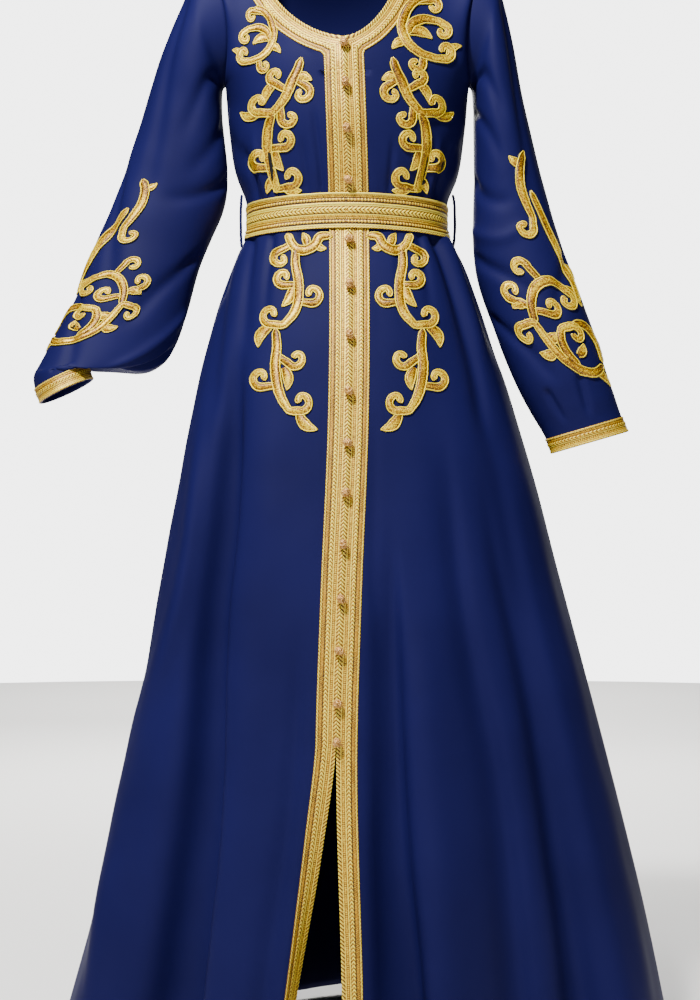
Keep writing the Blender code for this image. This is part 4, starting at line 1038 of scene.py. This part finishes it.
def make_belt():
    """The belt, gathered a little into the loops at the side seams."""
    angle = np.linspace(0, 360, BELT_TURNS, endpoint=False)[:, None]
    turn = np.radians(angle)
    out = np.concatenate([np.sin(turn), -np.cos(turn), 0 * turn], -1)[:, None, :]
    share = np.linspace(0, 1, 57)[None, :]
    gather = np.exp(-(((np.abs((angle + 180) % 360 - 180) - 90) / 11) ** 2))
    half = BELTING_WIDTH / 2
    w = half + (share * BELTING_WIDTH - half) / (1 - 0.16 * gather)
    z = BELT_MIDDLE - BELT_SAG * np.sin(turn) ** 2 + (0.5 - share) * BELT_WIDTH * (1 - 0.10 * gather)
    base = body(angle, z)
    # In front it stands out over the two edge braids
    over_braid = np.where(np.cos(turn) < 0, 0, 1 - ease((np.abs(base[..., 0] - 0.002) - 0.034) / 0.02))
    base = base + out * (0.0014 + 0.0014 * over_braid)[..., None]
    middle = base[:, 28]
    gone = distances_along(np.concatenate([middle, middle[:1]])) * 1000
    s = gone[:-1, None] * round(gone[-1] / BELTING_REPEAT) * BELTING_REPEAT / gone[-1]
    height, tone = woven(s, np.clip(w, 0, BELTING_WIDTH), BELTING, BELTING_GROUND)
    height = height * (1 - 0.25 * gather * np.abs(np.sin(share * np.pi * 5)))
    return raised_piece("braided_belt", base, np.broadcast_to(out, base.shape), (height, tone), s, True, 0.0)


# Cords

def round_faces(count, sides, closed):
    """Faces round a row of rings of points."""
    ring = np.arange(count if closed else count - 1)[:, None]
    point = np.arange(sides)[None, :]
    a, b = ring * sides, (ring + 1) % count * sides
    beside = (point + 1) % sides
    return np.stack([a + point, b + point, b + beside, a + beside], -1).reshape(-1, 4)


def ring_faces(count, sides):
    """The same, closed at both ends by folding the end rings flat."""
    faces = [round_faces(count, sides, False)]
    for start, turn in ((0, 1), ((count - 1) * sides, -1)):
        k = np.arange(sides // 2 - 1)
        cap = np.stack([start + k, start + k + 1, start + sides - 2 - k, start + sides - 1 - k], -1)
        faces.append(cap[:, ::turn])
    return np.concatenate(faces)


def tube(path, radius, sides, closed, twist=0.0, ridges=0.0):
    """Points, faces, tones and distances of a cord along a path. Its twist is in radians a metre."""
    run = unit(np.roll(path, -1, 0) - np.roll(path, 1, 0) if closed else np.gradient(path, axis=0))
    side = unit(np.cross(run, (0.31, 0.87, 0.38)))
    up = np.cross(side, run)
    gone = distances_along(path)[:, None]
    angle = np.linspace(0, 2 * np.pi, sides, endpoint=False)[None, :]
    strands = np.cos(3 * angle + twist * gone)
    size = np.reshape(radius, (-1, 1)) * (1 + ridges * strands)
    sideways = side[:, None] * (np.cos(angle) * size)[..., None]
    upwards = up[:, None] * (np.sin(angle) * size)[..., None]
    points = (path[:, None] + sideways + upwards).reshape(-1, 3)
    along = np.broadcast_to(gone, strands.shape)
    # The tone paints shade between the strands and a highlight on them
    return points, round_faces(len(path), sides, closed), (strands * 0.5 + 0.5).ravel(), along.ravel()


def joined(name, parts):
    """One piece from several sets of points, faces, tones and distances."""
    points, faces, tones, alongs = zip(*parts)
    starts = np.cumsum([0] + [len(p) for p in points])
    faces = np.concatenate([part + start for part, start in zip(faces, starts)])
    facts = {"tone": np.concatenate(tones), "along": np.concatenate(alongs)}
    return mesh_of(name, np.concatenate(points), faces, facts)


def capped(path, radius):
    """A tube's radii, drawn in to nearly nothing at both ends."""
    i = np.arange(len(path))
    close = np.minimum(i, i[::-1])
    return radius * np.where(close == 0, 0.05, np.where(close == 1, 0.75, 1.0))


def make_belt_loop(side, hand):
    """A twisted thread loop round the belt at the side seam."""
    low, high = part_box("belt_loop_" + hand)
    near, far = (low[0], high[0]) if side > 0 else (high[0], low[0])
    top, bottom = BELT_TOP + 0.012, BELT_BOTTOM - 0.014
    inset = side * 0.0014
    share = np.arange(41) / 40
    x = near + inset + (far - near - 2 * inset) * np.sin(np.pi * share) ** 0.55
    z = top + (bottom - top) * (share - 0.06 * np.sin(2 * np.pi * share))
    path = np.stack([x, 0 * x, z], -1)
    return joined("thread_loop_" + hand, [tube(path, capped(path, LOOP_CORD), 12, False, LOOP_TWIST, 0.12)])


def make_button(number):
    """A ball of knotted cord: one strand laid round a small core in a closed over-and-under knot."""
    low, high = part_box(f"button_{number:02d}")
    middle = (np.array(low) + np.array(high)) / 2
    turn = 0.7 * number
    t = 2 * np.pi * np.arange(156) / 156
    lat = 1.12 * np.sin(5 * t)
    size = BUTTON - 0.0013 + 0.00045 * np.cos(10 * t)
    x, y, z = np.cos(lat) * np.cos(3 * t) * size, np.cos(lat) * np.sin(3 * t) * size, np.sin(lat) * size
    turned = (x * math.cos(turn) - z * math.sin(turn), y, x * math.sin(turn) + z * math.cos(turn))
    parts = [tube(middle + np.stack(turned, -1), BUTTON_CORD, 8, True, BUTTON_TWIST, 0.16)]
    lat = np.linspace(-np.pi / 2, np.pi / 2, 13)
    core = middle + np.stack([0 * lat, BUTTON_CORE * np.sin(lat), 0 * lat], -1)
    points, faces, tone, along = tube(core, np.maximum(BUTTON_CORE * np.cos(lat), 0.0002), 14, False)
    parts.append((points, faces, tone * 0 + 0.3, along))
    # The cord's end, tucked in beside the ball
    share = np.arange(25) / 24
    angle = -0.6 + 4.6 * share
    x, z = 0.0052 + 0.0019 * np.cos(angle), -0.0052 + 0.0019 * np.sin(angle)
    tail = middle + np.stack([x, 0.0046 + 0.0010 * np.sin(3 * share), z], -1)
    parts.append(tube(tail, capped(tail, BUTTON_TAIL), 6, False, BUTTON_TWIST, 0.14))
    return joined(f"knot_button_{number:02d}", parts)


# Embroidery

def stem_path(points, *curl):
    """A stem that swells from a pointed start. One with an eye, a radius and a hand goes on into a curl."""
    line = smooth_points(points, 8)
    path = []
    gone = 0.0
    for i, point in enumerate(line):
        gone += math.dist(point, line[max(i - 1, 0)])
        swell = 0.74 + 0.26 * math.sin(math.pi * i / (len(line) - 1))
        path.append((point, STEM_HALF * swell * min(0.25 + gone / 9, 1)))
    if curl:
        path = path[:-1] + curl_path(points[-1], direction(*line[-2:]), 0.74, *curl)
    return path


def direction(start, end):
    size = math.dist(start, end)
    return (end[0] - start[0]) / size, (end[1] - start[1]) / size


def stem_direction(stems, root):
    """Direction of the nearest stem at a place."""
    lines = [smooth_points(stem[0]) for stem in stems]
    steps = [step for line in lines for step in zip(line, line[1:])]
    return direction(*min(steps, key=lambda step: math.dist(step[0], root) + math.dist(step[1], root)))


def curl_path(root, leave, width, eye_x, eye_z, radius, hand):
    """A branch that leaves its root along a direction, meets the circle round its eye and winds into it,
    narrowing as it goes, with a round bead of stitches at the end."""
    away = (root[0] - eye_x, root[1] - eye_z)
    reach = max(math.hypot(*away), radius * 1.05)
    start = math.atan2(away[1], away[0]) + hand * math.acos(radius / reach)
    meet = (eye_x + math.cos(start) * radius, eye_z + math.sin(start) * radius)
    run_x, run_z = meet[0] - root[0], meet[1] - root[1]
    length = math.hypot(run_x, run_z)
    forward = length if leave[0] * run_x + leave[1] * run_z > 0 else -length
    leave = (leave[0] * forward, leave[1] * forward)
    arrive = (-math.sin(start) * hand * length, math.cos(start) * hand * length)
    path = []
    for t in np.arange(9) / 9:
        point = tuple(between(t, *ends) for ends in zip(root, leave, meet, arrive))
        path.append((point, STEM_HALF * (width + (0.82 - width) * t)))
    for share in np.arange(28) / 27:
        turn = start + hand * CURL_TURN * share
        size = radius * (1 - 0.10 * share - 0.68 * ease((share - 0.60) / 0.40))
        half = STEM_HALF * (0.82 - 0.30 * share + 0.26 * ease((share - 0.76) / 0.20))
        path.append(((eye_x + math.cos(turn) * size, eye_z + math.sin(turn) * size), half))
    return path


def leaf_path(root_x, root_z, tip_x, tip_z, half_width, bend):
    run_x, run_z = direction((root_x, root_z), (tip_x, tip_z))
    path = []
    for share in np.arange(15) / 14:
        out = bend * math.sin(math.pi * share)
        x = root_x + (tip_x - root_x) * share - run_z * out
        z = root_z + (tip_z - root_z) * share + run_x * out
        swell = 0.10 + 0.95 * math.sin(math.pi * (0.22 + 0.78 * share) ** 1.2)
        path.append(((x, z), 1.15 * half_width * swell))
    return path


def stitched(path, level, lay):
    """A padded satin stitch along a flat path, with a painted highlight along its crown, a near-black strip
    under it that paints the shadow round its edges, and the cords couched along its edges.
    """
    points = np.array([point for point, half in path])
    halves = np.array([half for point, half in path])
    run = unit(np.gradient(points, axis=0))
    side = np.stack([-run[:, 1], run[:, 0]], -1)
    gone = distances_along(points)
    near_end = np.clip(1 - (gone[-1] - gone + 0.05) / max(halves[-1], 0.6), 0, 1)
    halves = halves * np.sqrt(np.clip(1 - near_end**2, 0.015, 1))
    uneven = halves * (1 + 0.03 * np.sin(gone * 2.9) + 0.02 * np.sin(gone * 7.1))

    def strip(across, heights, tone):
        """A closed strip of rings: how far each of their points is to the side, how high, and its tone."""
        count, sides = across.shape
        flat = points[:, None] + side[:, None] * across[..., None]
        laid = lay(flat.reshape(-1, 2), np.broadcast_to(heights, across.shape).ravel())
        tone = np.broadcast_to(tone, across.shape).ravel()
        return laid, ring_faces(count, sides), tone, np.repeat(gone, sides) / 1000

    # Satin stitch
    across = np.linspace(-1, 1, 7)
    width = (uneven - 0.9)[:, None] * np.concatenate([across, across[::-1]])
    dome = np.sqrt(np.clip(1 - across**2, 0, 1)) * np.clip(halves / STEM_HALF, 0.3, 1)[:, None]
    heights = np.concatenate([level + 0.45 + 1.55 * dome, np.full(dome.shape, -0.2)], 1)
    shade = np.clip(1 - gone / max(gone[-1] * 0.6, 1), 0, 1) + 0.35 * np.sin(gone / 11 + len(path))
    # Painted highlight and shade: each stitch is paler along its crown and darker towards its edges, as light
    # falls on the dome
    crown = 1 - np.abs(np.concatenate([across, across[::-1]]))
    parts = [strip(width, heights, 0.50 - 0.22 * shade[:, None] + 0.26 * crown)]
    # Painted shadow: a near-black strip, cut 1 mm outside the cords, that paints a dark rim of shade round
    # the stitch
    parts.append(strip((halves + 1.0)[:, None] * (-1, 1, 1, -1), (0.15, 0.15, -0.2, -0.2), -1.0))
    # Couched cords, painted a little paler where their lumps stand highest, as a painted highlight
    angle = np.linspace(0, 2 * np.pi, 6, endpoint=False)
    lumpy = 0.82 + 0.16 * np.sin(gone * 2 * np.pi / 1.7)[:, None]
    for hand in (-1, 1):
        width = hand * (uneven - 0.35)[:, None] + 0.85 * np.cos(angle)
        parts.append(strip(width, level + 0.75 + lumpy * np.sin(angle), 0.90 + 0.08 * lumpy))
    return parts


def make_scroll(name, drawing, lay):
    """A piece of embroidery: leaves lie lowest, curls over them, and stems on top."""
    stems, curls, leaves = drawing
    parts = []
    for i, row in enumerate(leaves):
        parts += stitched(leaf_path(*row), 0.02 * i, lay)
    for i, row in enumerate(curls):
        root, curl = row[:2], row[2:]
        parts += stitched(curl_path(root, stem_direction(stems, root), 0.6, *curl), 0.25 + 0.02 * i, lay)
    for i, row in enumerate(stems[::-1]):
        parts += stitched(stem_path(*row), 0.65 + 0.05 * i, lay)
    return joined(name, parts)


def layer(find):
    """A function that lays a drawing on cloth. find gives the place on the cloth and the way out of it."""
    def lay(flat, heights):
        laid = []
        for (x, z), height in zip(flat / 1000, heights / 1000):
            place, out = find(x, z)
            laid.append(place + out * (height + STITCH_LIFT))
        return np.array(laid)
    return lay


def front_layer(side, tree, inset, wide, tall):
    """Lays a drawing on a front, as seen from the front."""
    def find(x, z):
        place = Vector((side * (inset + wide * x), -1, SHOULDER_FOOT + (z - SHOULDER_FOOT) * tall))
        hit, out, _, _ = tree.ray_cast(place, Vector((0, 1, 0)))
        if hit is None:
            hit, out, _, _ = tree.find_nearest(Vector((place.x, -0.08, place.z)))
        return hit, out if out.y < 0 else -out
    return layer(find)


def sleeve_layer(side, tree, turned, top, stretch):
    """Lays a drawing round a sleeve: x is measured round the arm from its front, outwards."""
    outer_x, outer_z, inner_x, inner_z, middle_y, _ = SLEEVES[side].T
    middle_x, depths = (outer_x + inner_x) / 2, -(outer_z + inner_z) / 2

    def find(x, z):
        z = top + (z - FOREARM_TOP) * stretch
        centre = Vector((np.interp(-z, depths, middle_x), np.interp(-z, depths, middle_y), z))
        turn = (x + turned) / FOREARM_RADIUS
        way = Vector((side * math.sin(turn), -math.cos(turn), 0))
        hit, out, _, _ = tree.ray_cast(centre, way)
        return hit, out if out.dot(way) > 0 else -out
    return layer(find)


# Finishes: steps of colour, in the dye and from the grooves of metallised thread to its crowns. The metal's
# own colour runs through them, and the darkest steps are painted shade, the palest painted highlight.
CREPE_DYE = ((0.30, "#0d0d3c"), (0.72, "#121245"))
GOLD_BRAID = ((0.12, "#120900"), (0.38, "#684200"), (0.62, "#cc9408"), (0.84, "#ffec54"))
GOLD_BELT = ((0.10, "#120900"), (0.34, "#684200"), (0.58, "#cc9408"), (0.80, "#ffec54"))
# Its first, near-black step colours the painted shadow strip under the embroidery
GOLD_STITCH = ((0.0, "#06050a"), (0.09, "#180c00"), (0.36, "#543000"), (0.62, "#b88000"), (0.86, "#ffe020"))
COPPER_CORD = ((0.05, "#6a3c10"), (0.45, "#c58a3c"), (0.95, "#f2cf8c"))

# Sizes of patterns in metres. Crepe's pebbles are about 0.5 mm and drawn coarser, so that they show.
PEBBLE = 0.0012
SPECK = 0.0016
BRAID_THREAD = 0.0011
STITCH_THREAD = 0.0009
CORD_THREAD = 0.0007


def linear(code):
    """A hex sRGB colour as linear numbers."""
    channels = [int(code[i : i + 2], 16) / 255 for i in (1, 3, 5)]
    return tuple(c / 12.92 if c <= 0.04045 else ((c + 0.055) / 1.055) ** 2.4 for c in channels) + (1.0,)


def add(tree, kind, settings=None, links=None, steps=()):
    """Adds a node, sets its properties or sockets by name, links its sockets to other nodes' outputs and sets
    its steps of colour."""
    node = tree.nodes.new(kind)
    for key, value in (settings or {}).items():
        if isinstance(key, str) and hasattr(node, key):
            setattr(node, key, value)
        else:
            node.inputs[key].default_value = value
    for key, (other, output) in (links or {}).items():
        tree.links.new(other.outputs[output], node.inputs[key])
    if steps:
        stops = node.color_ramp.elements
        while len(stops) < len(steps):
            stops.new(0.5)
        for stop, (place, code) in zip(stops, steps):
            stop.position = place
            stop.color = linear(code)
    return node


def new_finish(name, settings):
    material = bpy.data.materials.new(name)
    material.use_nodes = True
    tree = material.node_tree
    shader = tree.nodes["Principled BSDF"]
    for key, value in settings.items():
        shader.inputs[key].default_value = value
    return material, tree, shader


def satin_backed_crepe():
    """Royal blue crepe with a soft satin face: fine pebbled yarns that give a broad, low sheen."""
    settings = {"Roughness": 0.62, "Specular IOR Level": 0.09}
    material, tree, shader = new_finish("royal blue satin-backed crepe", settings)
    place = add(tree, "ShaderNodeTexCoord")
    at = {"Vector": (place, "Object")}
    slow = add(tree, "ShaderNodeTexNoise", {"Scale": 5.0, "Detail": 3.0}, at)
    dye = add(tree, "ShaderNodeValToRGB", links={"Fac": (slow, "Fac")}, steps=CREPE_DYE)
    tree.links.new(dye.outputs["Color"], shader.inputs["Base Color"])
    pebble = add(tree, "ShaderNodeTexNoise", {"Scale": 1 / PEBBLE, "Detail": 2.0}, at)
    bump = add(tree, "ShaderNodeBump", {"Strength": 0.16, "Distance": 0.0004}, {"Height": (pebble, "Fac")})
    tree.links.new(bump.outputs["Normal"], shader.inputs["Normal"])
    return material


def metallic_thread(name, steps, metallic, roughness, pitch, glitter=0.34):
    """Metallised thread laid side by side, at a pitch in metres: painted shade between the threads, a painted
    highlight on their crowns, and painted glints at random where single filaments would catch the light."""
    settings = {"Metallic": metallic, "Roughness": roughness, "Specular IOR Level": 0.5}
    material, tree, shader = new_finish(name, settings)
    tone = add(tree, "ShaderNodeAttribute", {"attribute_name": "tone"})
    along = add(tree, "ShaderNodeAttribute", {"attribute_name": "along"})
    place = add(tree, "ShaderNodeTexCoord")
    at = {"Vector": (place, "Object")}
    speck = add(tree, "ShaderNodeTexNoise", {"Scale": 1 / SPECK, "Detail": 2.0}, at)
    threads = add(tree, "ShaderNodeMath", {"operation": "MULTIPLY", 1: 2 * math.pi / pitch},
                  {0: (along, "Fac")})
    wave = add(tree, "ShaderNodeMath", {"operation": "SINE"}, {0: (threads, "Value")})
    uneven = add(tree, "ShaderNodeMath", {"operation": "MULTIPLY_ADD", 1: glitter, 2: -0.5 * glitter},
                 {0: (speck, "Fac")})
    with_threads = add(tree, "ShaderNodeMath", {"operation": "MULTIPLY_ADD", 1: 0.06},
                       {0: (wave, "Value"), 2: (uneven, "Value")})
    total = add(tree, "ShaderNodeMath", {"operation": "ADD"}, {0: (tone, "Fac"), 1: (with_threads, "Value")})
    ramp = add(tree, "ShaderNodeValToRGB", links={"Fac": (total, "Value")}, steps=steps)
    tree.links.new(ramp.outputs["Color"], shader.inputs["Base Color"])
    mixed = add(tree, "ShaderNodeMath", {"operation": "MULTIPLY_ADD", 1: 0.5},
                {0: (wave, "Value"), 2: (speck, "Fac")})
    bump = add(tree, "ShaderNodeBump", {"Strength": 0.35, "Distance": 0.0003}, {"Height": (mixed, "Value")})
    tree.links.new(bump.outputs["Normal"], shader.inputs["Normal"])
    return material


def matt_paper():
    """Uncoated pale paper for the floor, which gives no reflection."""
    return new_finish("pale matt paper", {"Base Color": linear("#f3f1ed"), "Roughness": 0.9})[0]


# Studio, with the floor's radius in metres
FLOOR = 6


def make_floor():
    """A round floor a little below the hem."""
    turns = [2 * math.pi * i / 64 for i in range(64)]
    ring = [(FLOOR * math.cos(turn), FLOOR * math.sin(turn), HEM - 0.012) for turn in turns]
    data = bpy.data.meshes.new("floor")
    data.from_pydata(ring, [], [tuple(range(len(ring)))])
    floor = bpy.data.objects.new("floor", data)
    bpy.context.scene.collection.objects.link(floor)
    data.materials.append(matt_paper())


def make_background():
    """Dim cool light from all round, and a white that only the camera sees."""
    world = bpy.data.worlds.new("studio")
    world.use_nodes = True
    tree = world.node_tree
    room = tree.nodes["Background"]
    room.inputs["Color"].default_value = linear("#e6e8ee")
    room.inputs["Strength"].default_value = 0.05
    paper = add(tree, "ShaderNodeBackground", {"Color": linear("#f6f6f6"), "Strength": 5.0})
    ray = add(tree, "ShaderNodeLightPath")
    mix = add(tree, "ShaderNodeMixShader",
              links={0: (ray, "Is Camera Ray"), 1: (room, "Background"), 2: (paper, "Background")})
    tree.links.new(mix.outputs["Shader"], tree.nodes["World Output"].inputs["Surface"])
    bpy.context.scene.world = world


# Name, place, target, size in metres, power in watts
LAMPS = (
    ("key", (-0.86, -1.75, 1.98), (0.0, 0.0, -0.20), 0.35, 268),
    ("fill", (1.2, -3.2, 0.7), (0.0, 0.0, -0.10), 0.8, 16),
    ("back", (-0.5, 3.3, 0.8), (0.0, 0.0, -0.75), 0.9, 130),
    ("back_fill", (1.8, 3.1, -0.2), (0.0, 0.0, -0.75), 1.4, 14),
    ("floor_light", (0.0, 5.0, 1.4), (0.0, 4.4, -1.5), 3.2, 260),
)


def make_lamps():
    for name, place, target, size, power in LAMPS:
        light = bpy.data.lights.new(name, "AREA")
        light.size = size
        light.energy = power
        lamp = bpy.data.objects.new(name, light)
        lamp.location = place
        lamp.rotation_euler = (Vector(target) - Vector(place)).to_track_quat("-Z", "Y").to_euler()
        bpy.context.scene.collection.objects.link(lamp)


# The whole garment

# How the drawings are moved, narrowed and shortened to suit each side, as the photograph shows them
SHOULDER_PLACES = {1: (0.0, 1.0, 1.0), -1: (0.046, 0.70, 0.85)}
SKIRT_SHIFT = 0.003
FOREARM_PLACES = {1: (0.0, -0.300, 1.0), -1: (0.022, -0.338, 0.74)}


def dress(piece, node, finish):
    material, slot = finish
    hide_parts(node)
    piece.data.materials.clear()
    piece.data.materials.append(material)
    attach(piece, "root")
    return piece


def main():
    place_camera()
    crepe = satin_backed_crepe(), "blue_crepe"
    # Flat braid of metallised yarn that is not mirror-like: brown painted shade in its grooves, and a pale
    # painted highlight on its crowns
    edge_thread = metallic_thread("pale gold metallic braid", GOLD_BRAID, 0.25, 0.40, BRAID_THREAD, 0.6)
    braid = edge_thread, "gold_braid"
    belt_thread = metallic_thread("gold metallic belt braid", GOLD_BELT, 0.25, 0.40, BRAID_THREAD, 0.6)
    belting = belt_thread, "gold_braid"
    # Satin stitch in shades of gold: deep brown where a stem begins, and a painted highlight of bright yellow
    # on its crown
    stitch_thread = metallic_thread("shaded gold satin stitch", GOLD_STITCH, 0.25, 0.36, STITCH_THREAD, 1.5)
    stitch = stitch_thread, "gold_embroidery"
    # Tightly knotted cord: redder and shinier than the braid
    cord = metallic_thread("coppery gold knotted cord", COPPER_CORD, 0.4, 0.34, CORD_THREAD)
    copper = cord, "copper_gold_thread"
    back, back_grid = make_back()
    dress(back, "back", crepe)
    neck = dress(make_neck_braid(surface_tree(back_grid[BACK_NECK_ROWS])), "neck_braid_back", braid)
    belt = dress(make_belt(), "belt", belting)
    numbers = range(1, BUTTON_COUNT + 1)
    buttons = [dress(make_button(number), f"button_{number:02d}", copper) for number in numbers]
    for side, hand in ((1, "left"), (-1, "right")):
        front, front_grid = make_front(side, hand)
        dress(front, "front_" + hand, crepe)
        edging = dress(make_front_braid(side, hand), "front_braid_" + hand, braid)
        sleeve, sleeve_grid = make_sleeve(side, hand)
        dress(sleeve, "sleeve_" + hand, crepe)
        cuff = dress(make_cuff_braid(side, hand), "cuff_braid_" + hand, braid)
        dress(make_belt_loop(side, hand), "belt_loop_" + hand, crepe)
        front_tree = surface_tree(front_grid)
        layers = {
            "shoulder": front_layer(side, front_tree, *SHOULDER_PLACES[side]),
            "bodice": front_layer(side, front_tree, 0, 1, 1),
            "skirt": front_layer(side, front_tree, side * SKIRT_SHIFT, 1, 1),
            "forearm": sleeve_layer(side, surface_tree(sleeve_grid, True), *FOREARM_PLACES[side]),
        }
        scrolls = {}
        for place, drawing in SCROLLS.items():
            scroll = make_scroll(f"{place}_embroidery_{hand}", drawing, layers[place])
            scrolls[place] = dress(scroll, f"{place}_scroll_{hand}", stitch)
        on_sleeve = scrolls.pop("forearm")
    make_floor()
    make_background()
    make_lamps()


main()
